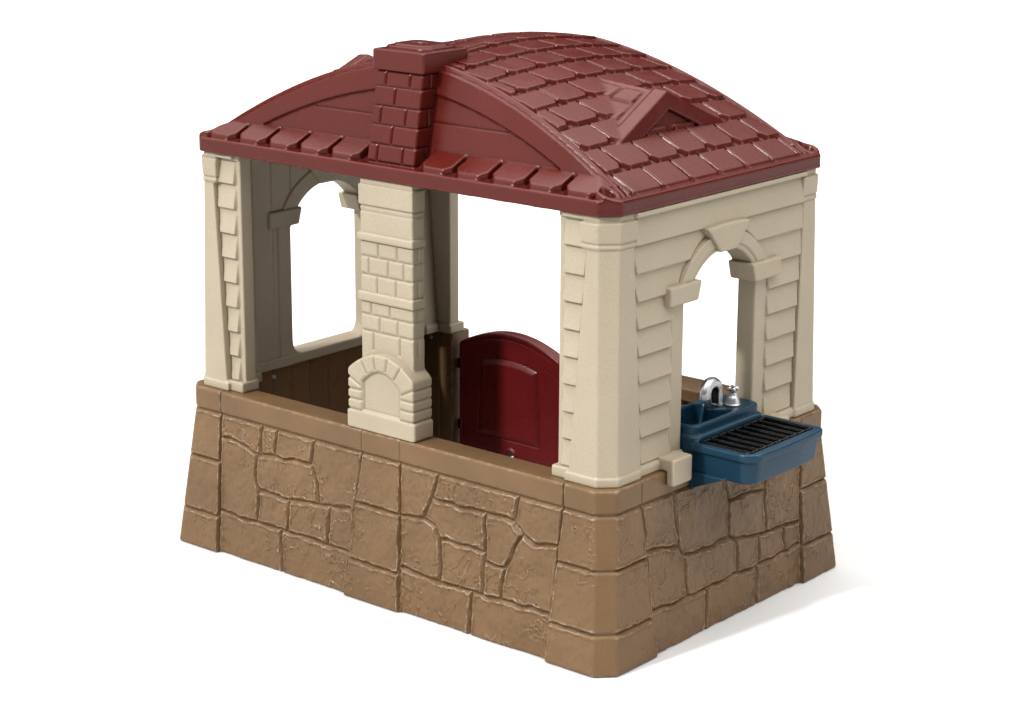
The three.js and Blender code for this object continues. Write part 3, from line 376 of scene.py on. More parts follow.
def base_front():
    """The front panel, between the end pieces."""
    g = Grid((-SEAM.top - 1, SEAM.top + 1), (BASE_Y[0], 2 - ROOM[1]), (0, BASE_HEIGHT), 2)
    inner = g.y + ROOM[1] - planks(g.x)
    piece = both(base_ring(g), inner, 4)
    return both(piece, np.abs(g.x) - battered(g.z, SEAM) + FIT, 3), g


def base_back():
    """The back panel, with a shelf inside and a low threshold under the door."""
    g = Grid((DOORWAY[0], SHELF.far), (SHELF.edge - 3, BASE_Y[1]), (0, BASE_HEIGHT), 2)
    ring = base_ring(g)
    thin = both(ring, ROOM[1] - planks(g.x) - g.y, 4)
    panel = both(thin, DOORWAY[1] - g.x, 4)
    shelf = block(g, (SHELF.end, SHELF.far), (SHELF.edge, ROOM[1] + 12), (SHELF.under, BASE_HEIGHT), 5)
    step = both(both(thin, g.z - THRESHOLD, 5), DOORWAY[0] + FIT - g.x, 2)
    piece = np.maximum(either(either(panel, shelf, 4), step, 2), ring)
    return both(piece, g.x - battered(g.z, SEAM) + FIT, 3), g


# ---------- half door ----------
DOOR_X, DOOR_Y, DOOR_Z = extent("half_door")
DOOR_AXIS = (-430, 366.5)
HINGE_EARS = ((121, 147), (281, 307))
HINGE = Sizes(ear=13, ear_bore=5.6, barrel=14, bore=5.4, reach=26, play=2)
DOOR_FACE = (345, 388)
DOOR = Sizes(left=-441, right=-112, bottom=76, shoulder=353, crown=399, relief=4)
DOOR_PANEL = Sizes(half=93, low=126, drop=66, rail=47, bevel=17)
NOTCH = Sizes(x=-272, z=85, radius=14, collar=8)


def door_relief(x, z, middle, arch):
    """A bevelled field raised from a plain border, under an arched top rail."""
    half = DOOR_PANEL.half + 0.05 * (286 - z)
    to_side = np.maximum(np.abs(x - middle) - half, DOOR_PANEL.low - z)
    panel = np.maximum(to_side, z - arch(DOOR_PANEL.drop))
    bevel = 5 * ramp(-panel, DOOR_PANEL.bevel) + notch(panel, 4, 2.5)
    rail = notch(z - arch(DOOR_PANEL.rail), 3, 1.5) * ramp(panel - 20, 3)
    return bevel + rail


def half_door():
    """The door under its arched top, with a finger notch below, pockets for the ears and hinge barrels."""
    g = Grid(DOOR_X, DOOR_Y, DOOR_Z, 2)
    left, right, bottom = DOOR.left, DOOR.right, DOOR.bottom
    middle, half = (left + right) / 2, (right - left) / 2
    arch = lambda drop: DOOR.crown - drop - (DOOR.crown - DOOR.shoulder) * ((g.x - middle) / half) ** 2
    face = both(both(span(g.x, left, right), bottom - g.z, 5), g.z - arch(0), 8)
    border = np.maximum(np.maximum(np.abs(g.x - middle) - (half - 12), bottom + 12 - g.z), g.z - arch(14))
    relief = door_relief(g.x, g.z, middle, arch) + notch(border, 4, 1.5)
    depth = both(DOOR_FACE[0] - g.y - relief + DOOR.relief, g.y - DOOR_FACE[1] - relief + DOOR.relief, 2)
    door = both(face, depth, 5)
    door = both(door, (g.y - g.x - (DOOR_FACE[1] - left - 13)) / ROOT_2, 3)
    across = rod(g.x - NOTCH.x, np.maximum(g.z - NOTCH.z, 0), NOTCH.radius)
    collar = all_of(2, across - NOTCH.collar, bottom - g.z, span(g.y, *DOOR_FACE))
    door = carve(either(door, collar, 2), across, 3)
    hinge = lambda radius: rod(g.x - DOOR_AXIS[0], g.y - DOOR_AXIS[1], radius)
    play = HINGE.play
    for low, high in HINGE_EARS:
        pocket = both(span(g.z, low - play, high + play), g.x - DOOR_AXIS[0] - 15, 2)
        door = carve(door, both(pocket, DOOR_FACE[0] + 7 - g.y, 1), 2)
    for low, high in ((bottom, HINGE_EARS[0][0] - play), (HINGE_EARS[1][1] + play, DOOR.shoulder - play)):
        door = either(door, both(hinge(HINGE.barrel), span(g.z, low, high), 3), 2)
    for (low, high), way in zip(HINGE_EARS, (-1, 1)):
        centre = (low + high) / 2 + way * 12
        bore = np.maximum(hinge(HINGE.bore), span(g.z, centre - HINGE.reach, centre + HINGE.reach))
        door = carve(door, bore, 1)
    return door, g


# ---------- end walls, worked out for the +x end ----------
WALL_TOP = extent("wall_right_end")[2][1]
SEAT_Z = BASE_HEIGHT + 0.3  # where the walls rest on the base
PLINTH_Z = 398.5
FRIEZE_Z = 905  # underside of the plain band along the top
WALL = Sizes(inner=546, face=586, back=542, half=312)
BOARD = Sizes(pitch=56.5, proud=9)
WINDOW = Sizes(half=128, radius=134, z=666, frame=42, trim=588)
IMPOST = Sizes(z=(712, 752), near=97, far=198, x=(540, 606))
KEYSTONE = Sizes(low=797, high=855, half=31, x=(540, 607))
SILL = Sizes(half=172, x=(542, 603))
SILL_BLOCK = Sizes(along=(147, 213), low=345, top=402, lip=613, out=633)
RETURN = Sizes(edge=455, jamb=467, inner=332, face=366)
CAPITAL_Z = 850


def board_share(z):
    """How far up its clapboard a height lies, from 0 at the board's lower edge to 1."""
    return ((z - PLINTH_Z) / BOARD.pitch) % 1


def boards(z):
    """How far a clapboard stands out at a height: most at its lower edge."""
    t = board_share(z)
    return BOARD.proud * np.minimum(1 - t, t * BOARD.pitch / 2.5)


def leaning(z, low, high):
    """Linear from low at the plinth to high at the capital."""
    return low + (high - low) * (z - SEAT_Z) / (CAPITAL_Z - SEAT_Z)


def pillar(x, y, z):
    """A tapering chamfered corner pillar with its capital and foot."""
    def faces(x0, x1, y0, y1, cut):
        sides = both(np.maximum(x0 - x, y0 - y), np.maximum(x - x1, y - y1), 3)
        return both(sides, (x + y - cut) / ROOT_2, 2)

    shaft = faces(leaning(z, 496, 530), leaning(z, 600, 590), leaning(z, 278, 302), leaning(z, 386, 378),
                  leaning(z, 956, 938))
    flare = 0.04 * (z - CAPITAL_Z)
    necks = notch(z - CAPITAL_Z - 1, 4, 3.5) + notch(z - CAPITAL_Z - 13, 4, 3)
    grow = flare + necks - 6 * ramp(z - (FRIEZE_Z - 1), 3)
    capital = faces(518 - grow, 592 + grow, 296 - grow, 381 + grow, 941 + 1.4 * grow)
    foot = faces(489, 603, 282, 389, 960) + 6 * ramp(z - PLINTH_Z + 7, 7)
    foot = both(foot, span(z, SEAT_Z, PLINTH_Z), 2)
    column = either(both(shaft, z - CAPITAL_Z, 2), both(capital, CAPITAL_Z - z, 2), 2)
    return either(both(column, span(z, SEAT_Z, WALL_TOP), 2), foot, 3)


def window_shape(y, z):
    """The field of an arched window that is open downwards."""
    round_part = np.hypot(y, np.maximum(z - WINDOW.z, 0)) - WINDOW.radius
    return np.maximum(np.abs(y) - WINDOW.half, round_part)


def wall_panel(x, y, z, across):
    """The boarded panel round the window, with planks inside."""
    opening = window_shape(y, z)
    frame_edge = opening - WINDOW.frame
    bay = ramp(WINDOW.frame - opening, 3)
    inner = WALL.inner - 3 * bay - planks(y) * (1 - bay)
    boarded = ramp(across - 4, 3) * ramp(frame_edge - 5 * board_share(z) + 2, 3)
    face = WALL.face + boards(z) * boarded + 3 * ramp(z - FRIEZE_Z, 2)
    panel = both(both(inner - x, x - face, 3), np.abs(y) - WALL.half, 2)
    rise = ramp(z - IMPOST.z[0], 3)
    trim = WINDOW.trim + 11 * rise * ramp(-frame_edge, 3) - 3 * rise * ramp(14 - opening, 3)
    frame_field = both(both(frame_edge, x - trim, 3), 560 - x, 2)
    return either(panel, frame_field, 2)


def wall_blocks(x, y, z, has_sill):
    """Imposts, keystone, plinths and sill."""
    along = np.abs(y)
    near = IMPOST.near + 0.28 * (732 - z)
    impost_ends = both(near - along, along - IMPOST.far, 4)
    impost = both(both(span(x, *IMPOST.x), span(z, *IMPOST.z), 4), impost_ends, 4)
    lean = KEYSTONE.half + (z - 800) * 48 / 55
    top = KEYSTONE.high - 0.0006 * along ** 2
    keystone = all_of(5, along - lean, span(z, KEYSTONE.low, top), span(x, *KEYSTONE.x))
    plinth_top = PLINTH_Z - np.clip(x - 592, 0, 8)
    plinth_end = both(z - plinth_top, span(along, WINDOW.half, 300), 3)
    plinth = both(both(span(x, WALL.back, 598), SEAT_Z - z, 3), plinth_end, 3)
    made = any_of(2, impost, keystone, plinth)
    if has_sill:
        sill = all_of(4, span(x, *SILL.x), span(z, SEAT_Z, PLINTH_Z), along - SILL.half)
        return either(made, sill, 3)
    b = SILL_BLOCK
    lap = both(span(z, b.low, b.top), span(x, b.lip, b.out), 6)
    cap = both(span(z, SEAT_Z, b.top), span(x, 588, b.out), 6)
    blocks = both(np.minimum(lap, cap), span(along, *b.along), 6)
    return either(made, blocks, 4)


def return_wall(x, y, z):
    """The strip of boards that turns the corner, with a plain band at its free edge."""
    r = RETURN
    to_pillar = leaning(z, 496, 530) - x
    face = r.face + boards(z) * ramp(x - r.jamb, 3) * ramp(to_pillar - 2, 3) + 4 * ramp(z - FRIEZE_Z, 2)
    wall = both(both(r.edge - x, x - 548, 2), both(r.inner - y, y - face, 3), 4)
    foot = all_of(4, span(x, r.edge - 5, 500), span(y, r.inner - 4, 381), z - PLINTH_Z)
    return both(either(wall, foot, 2), span(z, SEAT_Z, WALL_TOP), 2)


def end_wall(side, has_sill):
    """A whole end wall: boarded panel, two pillars, two return walls and the blocks round the window."""
    x_range = sorted((side * (RETURN.edge - 7), side * (SILL_BLOCK.out + 1)))
    g = Grid(x_range, (-392, 392), (340, WALL_TOP), 2)
    x, along, z = side * g.x, np.abs(g.y), g.z
    to_pillar = leaning(z, 276, 304) + 5 * board_share(z) - along
    wall = both(wall_panel(x, g.y, z, to_pillar), span(z, SEAT_Z, WALL_TOP), 2)
    wall = any_of(2, wall, return_wall(x, along, z), pillar(x, along, z))
    opening = window_shape(g.y, z)
    if has_sill:
        opening = both(opening, PLINTH_Z - z, 40)
    wall = carve(wall, opening, 4)
    return either(wall, wall_blocks(x, g.y, z, has_sill), 1.5), g


# ---------- fireplace column ----------
COLUMN = Sizes(front=-380, back=-343, half=75)
COLUMN_COURSES = (548, 590, 626, 655, 676, 713, 752, 786)
COLUMN_BANDS = ((655, 676), (786, 803))
HEARTH = Sizes(half=95, front=-404, top=548, drop=42, plinth=415)
HEARTH_PANEL = Sizes(half=55, low=418, top=512, drop=30)


def brick_joints(u, z, courses, uprights, width=5, depth=4):
    """Grooves between bricks: level lines at the courses and upright joints between them."""
    relief = 0
    for index, (low, high) in enumerate(zip(courses, courses[1:])):
        relief = np.minimum(relief, notch(z - high, width, depth))
        inside = ramp(np.minimum(z - low, high - z), 2)
        for joint in uprights[index % len(uprights)]:
            relief = np.minimum(relief, notch(u - joint, width, depth) * inside)
    return relief


def hearth(g):
    """The hearth's arch of voussoirs on quoins, round a recessed panel."""
    x, z = g.x, g.z
    half = HEARTH_PANEL.half
    arch_top = HEARTH.top - HEARTH.drop * (x / HEARTH.half) ** 2
    inner_top = HEARTH_PANEL.top - HEARTH_PANEL.drop * (x / half) ** 2
    recess = np.maximum(np.maximum(np.abs(x) - half, HEARTH_PANEL.low - z), z - inner_top)
    spokes = [[(half * math.cos(a), 452 + 48 * math.sin(a)), (120 * math.cos(a), 462 + 105 * math.sin(a))]
              for a in (0.35, 0.95, 1.36, 1.78, 2.19, 2.79)]
    joints = notch(distance_to(spokes, x, z), 5, 4) * ramp(z - 456, 3) * ramp(recess - 3, 3)
    courses = sum(notch(z - height, 5, 4) for height in (417, 440, 462, 486))
    quoins = courses * ramp(np.abs(x) - 54, 3) * ramp(474 - z, 3)
    relief = joints + quoins - 7 * ramp(-recess, 4) + notch(recess, 5, 3)
    outline = both(np.abs(x) - HEARTH.half - courses, z - arch_top, 6)
    return both(both(outline, HEARTH.front - relief - g.y, 4), g.y - COLUMN.back, 3)


def fireplace_column():
    """A brick shaft with two bands and a moulded top, on a hearth and a plinth."""
    x_range, y_range, _ = extent("fireplace_column")
    g = Grid(x_range, y_range, (SEAT_Z, WALL_TOP), 2)
    x, z = g.x, g.z
    front, back = COLUMN.front, COLUMN.back
    upper = brick_joints(x, z, COLUMN_COURSES[4:], ((-28, 26), (-52, 4, 48), (-24, 30)))
    lower = brick_joints(x, z, COLUMN_COURSES[:4], ((-40, 36), (-22, 30), (-46, 8)))
    cap = notch(z - CAPITAL_Z, 4, 2) + notch(z - 861, 4, 2) + 2.5 * ramp(z - 861, 2)
    cap = cap - 3 * ramp(z - FRIEZE_Z, 2)
    sides = COLUMN.half + cap + brick_joints(g.y, z, COLUMN_COURSES, ((-362,), ()), 5, 2.5)
    depth = both(front - cap - upper - lower - g.y, g.y - back, 3)
    shaft = both(depth, np.abs(x) - sides, 3)
    for band in COLUMN_BANDS:
        shaft = either(shaft, block(g, (-80, 80), (front - 6, back), band, 4), 2)
    plinth = block(g, (-99, 99), (HEARTH.front, back), (SEAT_Z, HEARTH.plinth), 5)
    column = either(either(shaft, hearth(g), 3), plinth, 2)
    return both(column, span(z, SEAT_Z, WALL_TOP), 2), g


# ---------- roof ----------
ROOF_X, ROOF_Y, ROOF_Z = extent("roof")
EAVE = Sizes(x=596, y=385.5, cut=33, top=951)
RIDGE_Z = 1160
FALL = 0.0814  # of the ridge line beside its top, growing by CURVE each mm
CURVE = 4.81e-4
COVER = 7  # of the ridge cap over the slopes
GABLE = Sizes(foot=330, lean=0.2249, band=56, board=1042)
SHINGLE = Sizes(row=66.9, lip=52, column=97, gap=5.5, clip=14, low=5, high=12,
           trench=4)
DORMER = Sizes(x=460, y=203, z=1013, apex_x=438, apex_z=1104, back_x=255,
          back_z=1121, column=66, row=62)
# The shingles along each gable's foot: pitch, half width, clipped corner, |x| of their end, |y| of their
# front and inner edges, height at the middle line and the bed's depth under them.
SKIRT = Sizes(pitch=94.5, half=41.5, clip=17, end=549, front=379, inner=310,
         z=986, y=321, bed=18)
PIT = Sizes(x=562, y=352, radius=12, floor=937, knuckle=26, post=18)


def gable_top(x):
    """Height of the roof's outline, seen from the front."""
    return RIDGE_Z - FALL * np.abs(x) - CURVE * x * x


def slope_height(x, y):
    """The curved slopes under the shingles, with the ridge arching up in the middle."""
    return gable_top(x) - COVER + 28 * (1 - (y / 300) ** 2) * (1 - np.abs(x) / 590)


def gable_face(z):
    """|y| of the leaning gables."""
    return GABLE.foot - GABLE.lean * (z - EAVE.top)


def dormer_height(x, y):
    """Height of a dormer's two slopes."""
    d = DORMER
    fall = (d.back_z - d.apex_z) / (d.apex_x - d.back_x)
    top = d.back_z + fall * (d.back_x - np.abs(x))
    side = (d.apex_z - fall * (d.x - d.apex_x) - d.z) / d.y
    return top - side * np.abs(y)


def dormer_face(z):
    """|x| of the dormer's leaning front."""
    d = DORMER
    return d.x - (z - d.z) * (d.x - d.apex_x) / (d.apex_z - d.z)


def shingles(x, y, to_edge):
    """Thickness of the staggered rows of shingles, each thickest at its lip; negative in the gaps."""
    s = SHINGLE
    rows = (np.abs(x) - s.lip) / s.row + 1
    down = rows % 1
    to_lip = (1 - down) * s.row
    across = (y + np.floor(rows) % 2 * s.column / 2) % s.column
    to_side = np.minimum(across, s.column - across) - s.gap / 2
    inside = np.minimum(np.minimum(to_side, to_lip), (to_side + to_lip - s.clip) / ROOT_2)
    thickness = s.low + (s.high - s.low) * down
    gap = s.trench * np.clip(-to_side / 2, 0, 1) * np.clip(to_edge / 3, 0, 1)
    return np.clip(np.minimum(inside, to_edge) / 1.2, 0, 1) * thickness - gap


def roof_cover(x, y):
    """Height of the slopes' surface above the plain curve: ridge cap, edge ribs and shingles."""
    to_gable = gable_face(slope_height(x, y)) - np.abs(y)
    cover = shingles(x, y, np.minimum(to_gable - 20, np.abs(x) - 26))
    rib = (COVER + 3) * np.clip(1 - ((to_gable - 10) / 8) ** 2, 0, 1) * ramp(np.abs(x) - 20, 8)
    cap = COVER * ramp(27 - np.abs(x), 4)
    fade = ramp(584 - np.abs(x), 8)
    return np.maximum(np.where(cover < 0, cover, np.maximum(cover, rib)) * fade, np.where(cap > 0, cap, -99))


def dormer_cover(x, y):
    """Shingles on the slopes of a dormer, behind a plain raised border along its front."""
    front = dormer_face(dormer_height(x, y)) - np.abs(x)
    wide, deep = DORMER.column, DORMER.row
    column = (np.abs(x) - 8) % wide
    down = np.abs(y) / deep % 1
    inside = np.minimum(np.minimum(column, wide - column) - 3, np.minimum((1 - down) * deep, down * deep + 8))
    tiles = np.clip(inside / 3, 0, 1) * (2 + 6 * down) * ramp(front - 48, 3) * ramp(np.abs(y) - 14, 3)
    return tiles + 5 * ramp(34 - front, 4)


def gable_relief(x, z):
    """The barge band along a gable's top and the board line under it."""
    under = gable_top(x) - GABLE.band - z
    return 5 * ramp(-under, 4) + notch(z - GABLE.board, 4, 3) * ramp(under - 2, 3) - 2


def vault(g, cover=0, inset=0):
    """The body under the slopes, between the gables, with shingles laid over it or its surface set in."""
    slope = slope_height(g.x, g.y) + cover
    steep = FALL + 9.6e-4 * np.abs(g.x)
    to_slope = (g.z - slope) / np.sqrt(1 + steep * steep)
    to_gable = np.abs(g.y) - gable_face(g.z) - gable_relief(g.x, g.z)
    return all_of(3, to_slope, to_gable, np.abs(g.x) - 588) + inset


def dormers(g, cover):
    """The two small pediments over the end walls, with shingles laid over them."""
    to_top = (g.z - dormer_height(g.x, g.y) - cover) / 1.1
    under = dormer_height(g.x, g.y) - g.z
    relief = 2 - 9 * ramp(under - 30, 5) * ramp(g.z - 1024, 4)
    shape = both(to_top, np.abs(g.x) - dormer_face(g.z) - relief, 3)
    return np.maximum(np.maximum(shape, np.abs(g.y) - DORMER.y), 200 - np.abs(g.x))


def skirt_row(g, centres_front, centres_back):
    """Plan of the shingles along the gables' feet, with their front corners clipped."""
    to_front = SKIRT.front - np.abs(g.y)
    row = 50
    for side, centres in ((-1, centres_front), (1, centres_back)):
        for centre in centres:
            to_side = np.minimum(SKIRT.half - np.abs(g.x - centre), SKIRT.end - np.abs(g.x))
            tile = np.minimum(to_side, (to_side + to_front - SKIRT.clip) / ROOT_2)
            row = np.minimum(row, np.where(g.y * side > 0, -tile, 50))
    return row


def skirt(g, centres_front, centres_back):
    """The row of thick shingles between each gable's foot and the rim, and a knuckle at each screw pit."""
    along = np.abs(g.y)
    plane = lambda drop: (g.z - SKIRT.z + drop - (SKIRT.y - along) * 0.44) * 0.9
    bed = both(plane(SKIRT.bed), along - 362, 3)
    bed = both(bed, np.abs(g.x) - SKIRT.end - 5, 3)
    knuckle = rod(np.abs(g.x) - PIT.x, along - PIT.y, PIT.knuckle)
    row = either(skirt_row(g, centres_front, centres_back), knuckle, 3)
    front_face = along - SKIRT.front + (g.z - EAVE.top) * 0.25
    tiles = both(both(plane(0), row, 2.5), front_face, 3)
    tiles = both(tiles, g.z - 975 + 0.5 * (np.abs(g.x) - 538), 3)
    return np.maximum(either(bed, tiles, 2), SKIRT.inner - along)


def eave_plan(g, inset):
    """The rim's outline with its chamfered corners, set in by a distance."""
    sides = both(np.abs(g.x) - EAVE.x + inset, np.abs(g.y) - EAVE.y + inset, 5)
    corner = (np.abs(g.x) + np.abs(g.y) - EAVE.x - EAVE.y + EAVE.cut + 1.4 * inset) / ROOT_2
    return both(sides, corner, 3)


def roof():
    """The hollow roof: shingled vault, dormers, rim, skirts, and posts with screw pits at its corners."""
    g = Grid(ROOF_X, ROOF_Y, ROOF_Z, 2.5)
    underside = ROOF_Z[0]
    body = either(vault(g, roof_cover(g.x, g.y)), dormers(g, dormer_cover(g.x, g.y)), 2)
    rim = both(eave_plan(g, 0), g.z - EAVE.top, 6)
    front = [side * (130 + SKIRT.pitch * i) for side in (-1, 1) for i in range(5)]
    back = [SKIRT.pitch * (i - 5.5) for i in range(12)]
    made = either(either(body, rim, 4), skirt(g, front, back), 3)
    tray = np.maximum(eave_plan(g, 10), g.z - EAVE.top + 9)
    made = carve(made, np.minimum(vault(g, 0, 11), tray), 2)
    flange = np.maximum(span(g.z, underside, underside + 7), -eave_plan(g, 48))
    made = both(either(made, both(eave_plan(g, 0), flange, 3), 2), underside - g.z, 2)
    for x in (-PIT.x, PIT.x):
        for y in (-PIT.y, PIT.y):
            pit = rod(g.x - x, g.y - y, PIT.radius + 0.35 * np.clip(g.z - 950, 0, 45))
            pit = both(both(pit, PIT.floor - g.z, 3), GABLE.foot + 7 - np.abs(g.y), 3)
            post = np.maximum(rod(g.x - x, g.y - y, PIT.post), span(g.z, underside, 945))
            made = carve(np.minimum(made, post), pit, 3)
    return made, g


# ---------- chimney ----------
CHIMNEY_X, CHIMNEY_Y, CHIMNEY_Z = extent("chimney")
CHIMNEY = Sizes(foot=949, half=67, front=-366, rear=-250, taper=193)
CHIMNEY_COURSES = (915, 954, 991, 1031, 1070, 1110, 1141)
# Upright joints in each course: as shares of the width in front, and as y on the sides.
CHIMNEY_FRONT_SHARES = ((0.5,), (0.2, 0.74), (0.47,), (0.19, 0.72), (0.45,), (0.22, 0.74))
CHIMNEY_SIDE_JOINTS = ((-290,), (-330, -252), (-280,), (-318, -240), (-275,), (-310, -245))
CAP = Sizes(half=72, y=(-339, -200), z=(1142, 1186))
LID_Y = -268


def chimney():
    """The leaning brick stack, its cap, and a stepped lid with a shallow dish in it."""
    g = Grid(CHIMNEY_X, CHIMNEY_Y, CHIMNEY_Z, 2)
    x, z, top = g.x, g.z, CHIMNEY_Z[1]
    above = z - CHIMNEY.foot
    half = CHIMNEY.half - 0.01 * above
    front_joints = [[half * (2 * share - 1) for share in row] for row in CHIMNEY_FRONT_SHARES]
    front_bricks = brick_joints(x, z, CHIMNEY_COURSES, front_joints, 4.5, 3.5)
    side_bricks = brick_joints(g.y, z, CHIMNEY_COURSES, CHIMNEY_SIDE_JOINTS, 4.5, 3.5)
    front = CHIMNEY.front + above * 33 / CHIMNEY.taper
    rear = CHIMNEY.rear + above * 38 / CHIMNEY.taper
    stack = all_of(4, front - front_bricks - g.y, g.y - rear, np.abs(x) - half - side_bricks)
    stack = both(stack, z - (CAP.z[0] + 4), 2)
    cap = all_of(5, np.abs(x) - CAP.half, span(g.y, *CAP.y), span(z, *CAP.z))
    lid = both(slab_plan(x, g.y - LID_Y, 50, 42, 22), span(z, 1180, top), 4)
    step = both(slab_plan(x, g.y - LID_Y, 62, 53, 26), span(z, 1180, 1192), 4)
    dish = rod(x / 22 * 12, g.y - LID_Y, 12)
    made = either(either(stack, cap, 2), either(lid, step, 1.5), 2)
    made = carve(made, both(dish, top - 6 - z, 2), 2)
    return both(made, CHIMNEY.foot + 0.5 - z, 1), g


# ---------- sink and grill tray ----------
TRAY_X, TRAY_Y, TRAY_Z = extent("sink_grill_tray")
TRAY = Sizes(inner=616, outer=770, half=136, top=420, rim=401, bottom=352, bow=5)
WELL = (65, 122, 12)  # half sizes and corner radius of the grate's well
TRAY_PIT = Sizes(plan=(52, 106, 20), floor=366)
SINK = Sizes(x=560, plan=(57.5, 122, 22), back=500, top=449)
BASIN = Sizes(x=558, y=-34, half_x=46, half_y=76, radius=20, floor=398)
GUSSET = Sizes(sole=(98, 129), plate=(120, 129), z=(318, 356), back=613)
GRATE_X, GRATE_Y, GRATE_Z = extent("grill_grate")
GRATE_BARS = 9
FAUCET = (560, 42)  # axis that the spout turns about


def tray_plan(x, y, inset):
    """The tray's bowed outline, rounder at its front corner than at its back one."""
    half = TRAY.half - inset
    outer = TRAY.outer + TRAY.bow * (1 - (y / TRAY.half) ** 2) - inset
    radius = np.where(y < 0, 34, 18) - 0.5 * inset
    return rounded(x - outer + radius, np.abs(y) - half + radius, radius)


def tray_tub(g):
    """The rim and the inset body under it, with a well for the grate and a pit below that."""
    x, y, z = g.x, g.y, g.z
    inner = TRAY.inner - x
    rim = both(both(tray_plan(x, y, 0), inner, 3), span(z, TRAY.rim, TRAY.top), 6)
    draw = 7 + 0.12 * (TRAY.rim - z)
    tub = both(both(tray_plan(x, y, draw), inner, 3), span(z, TRAY.bottom, TRAY.rim + 4), 5)
    u = x - sum(GRATE_X) / 2
    well = np.maximum(slab_plan(u, y, *WELL), GRATE_Z[0] - 0.3 - z)
    pit = both(slab_plan(u, y, *TRAY_PIT.plan), TRAY_PIT.floor - z, 10)
    return carve(carve(either(rim, tub, 3), well, 3), pit, 3)


def sink_block(g):
    """The block behind the tray, with a basin and a pedestal for the faucet in it."""
    x, y, z = g.x, g.y, g.z
    behind = SINK.back - x
    outline = both(slab_plan(x - SINK.x, y, *SINK.plan), behind, 2)
    step = both(both(slab_plan(x - 565, y, 60, 126, 20), span(z, SEAT_Z, 428), 6), behind, 3)
    sink = both(outline, span(z, SEAT_Z, SINK.top), 6)
    slant = np.clip((SINK.top - z) / 51, 0, 1)
    half_x, half_y = BASIN.half_x - 7 * slant, BASIN.half_y - 9 * slant
    basin = slab_plan(x - BASIN.x, y - BASIN.y + 5 * slant, half_x, half_y, BASIN.radius)
    pedestal = rod(x - FAUCET[0] + 4, y - FAUCET[1] + 2, 24 + 4 * slant)
    floor = BASIN.floor - z
    basin = both(carve(both(basin, floor, 10), pedestal, 8), floor, 4)
    return carve(either(sink, step, 5), basin, 7)


def gusset(g, side):
    """One of the two webs under the tray."""
    height = span(g.z, *GUSSET.z)
    reach = 692 - (TRAY.bottom - g.z) * 79 / 34
    plate = both(span(side * g.y, *GUSSET.plate), height, 2)
    plate = both(plate, np.maximum(GUSSET.back - g.x, g.x - reach), 3)
    sole = all_of(2, span(g.x, GUSSET.back, GUSSET.back + 5), span(side * g.y, *GUSSET.sole), height)
    return either(plate, sole, 3)


def sink_and_tray():
    """The blue moulding that hangs in the right end wall's window."""
    g = Grid(TRAY_X, TRAY_Y, TRAY_Z, 1.8)
    body = either(tray_tub(g), sink_block(g), 4)
    return either(body, np.minimum(gusset(g, -1), gusset(g, 1)), 2), g


def grill_grate():
    """A round-cornered frame with evenly spaced bars along x."""
    g = Grid(GRATE_X, GRATE_Y, GRATE_Z, 1.2)
    low, high = GRATE_Z
    middle, half = sum(GRATE_X) / 2, (GRATE_X[1] - GRATE_X[0]) / 2
    outer = slab_plan(g.x - middle, g.y, half, GRATE_Y[1], 10)
    made = both(both(outer, -outer - 7, 2), span(g.z, low, high - 2), 2.5)
    for i in range(GRATE_BARS):
        y = GRATE_Y[0] + 5 + (GRATE_Y[1] - GRATE_Y[0] - 10) * i / (GRATE_BARS - 1)
        bar = both(rod(g.y - y, (g.z - high + 4.6) * 0.9, 4.4), np.maximum(low + 2 - g.z, g.z - high), 1.5)
        made = either(made, both(bar, span(g.x, GRATE_X[0] + 1, GRATE_X[1] - 1), 3), 2)
    return made, g


# ---------- faucet ----------
SPOUT_X, SPOUT_Y, SPOUT_Z = extent("faucet_spout")
SPOUT = Sizes(bend=27, centre=480, half=11.5, thick=11, channel=8.5)
VALVE_X, VALVE_Y, VALVE_Z = extent("faucet_valve")
KNOB_X, KNOB_Y, KNOB_Z = extent("faucet_knob")
KNOB = Sizes(hub=6, ball=5.5, reach=8, z=7)


def spout_arch(g, grow=0):
    """A half ring on a straight leg, as distances across it and along its radius from its middle line."""
    bend = SPOUT.bend
    y, z = g.y - FAUCET[1] + bend, g.z - SPOUT.centre
    around = np.where(z > 0, np.hypot(y, z), np.abs(y)) - bend
    swell = np.where(y < 0, 1.5, 0) * ramp(-y, 20)
    ends = np.maximum(SPOUT_Z[0] - g.z, np.where(y < 0, -8 - z - grow, -60))
    return np.abs(g.x - FAUCET[0]), around, swell, ends


def faucet_spout():
    """A broad crescent arm with a channel along its inner side."""
    g = Grid(SPOUT_X, SPOUT_Y, SPOUT_Z, 0.9)
    across, around, swell, ends = spout_arch(g)
    wide = across - SPOUT.half + np.clip(around, 0, 9) ** 2 * 0.07
    band = both(both(wide, np.abs(around + 2) - SPOUT.thick - swell, 6), ends, 2)
    channel = all_of(2, across - SPOUT.channel, around + 2, -around - 30)
    arm = carve(band, channel, 1.5)
    foot = both(rod(g.x - FAUCET[0], g.y - FAUCET[1], 12), span(g.z, SPOUT_Z[0], SPOUT_Z[0] + 6), 2)
    return either(arm, foot, 2), g


def spout_channel_shade():
    """A dark sheet laid in the spout's channel: painted shade where the channel is shaded."""
    g = Grid(SPOUT_X, SPOUT_Y, SPOUT_Z, 1)
    across, around, _, ends = spout_arch(g, -2)
    channel_shade = both(both(across - (SPOUT.channel - 0.3), around + 1.5, 1), -10 - around, 2)
    return both(channel_shade, ends + 1, 1), g


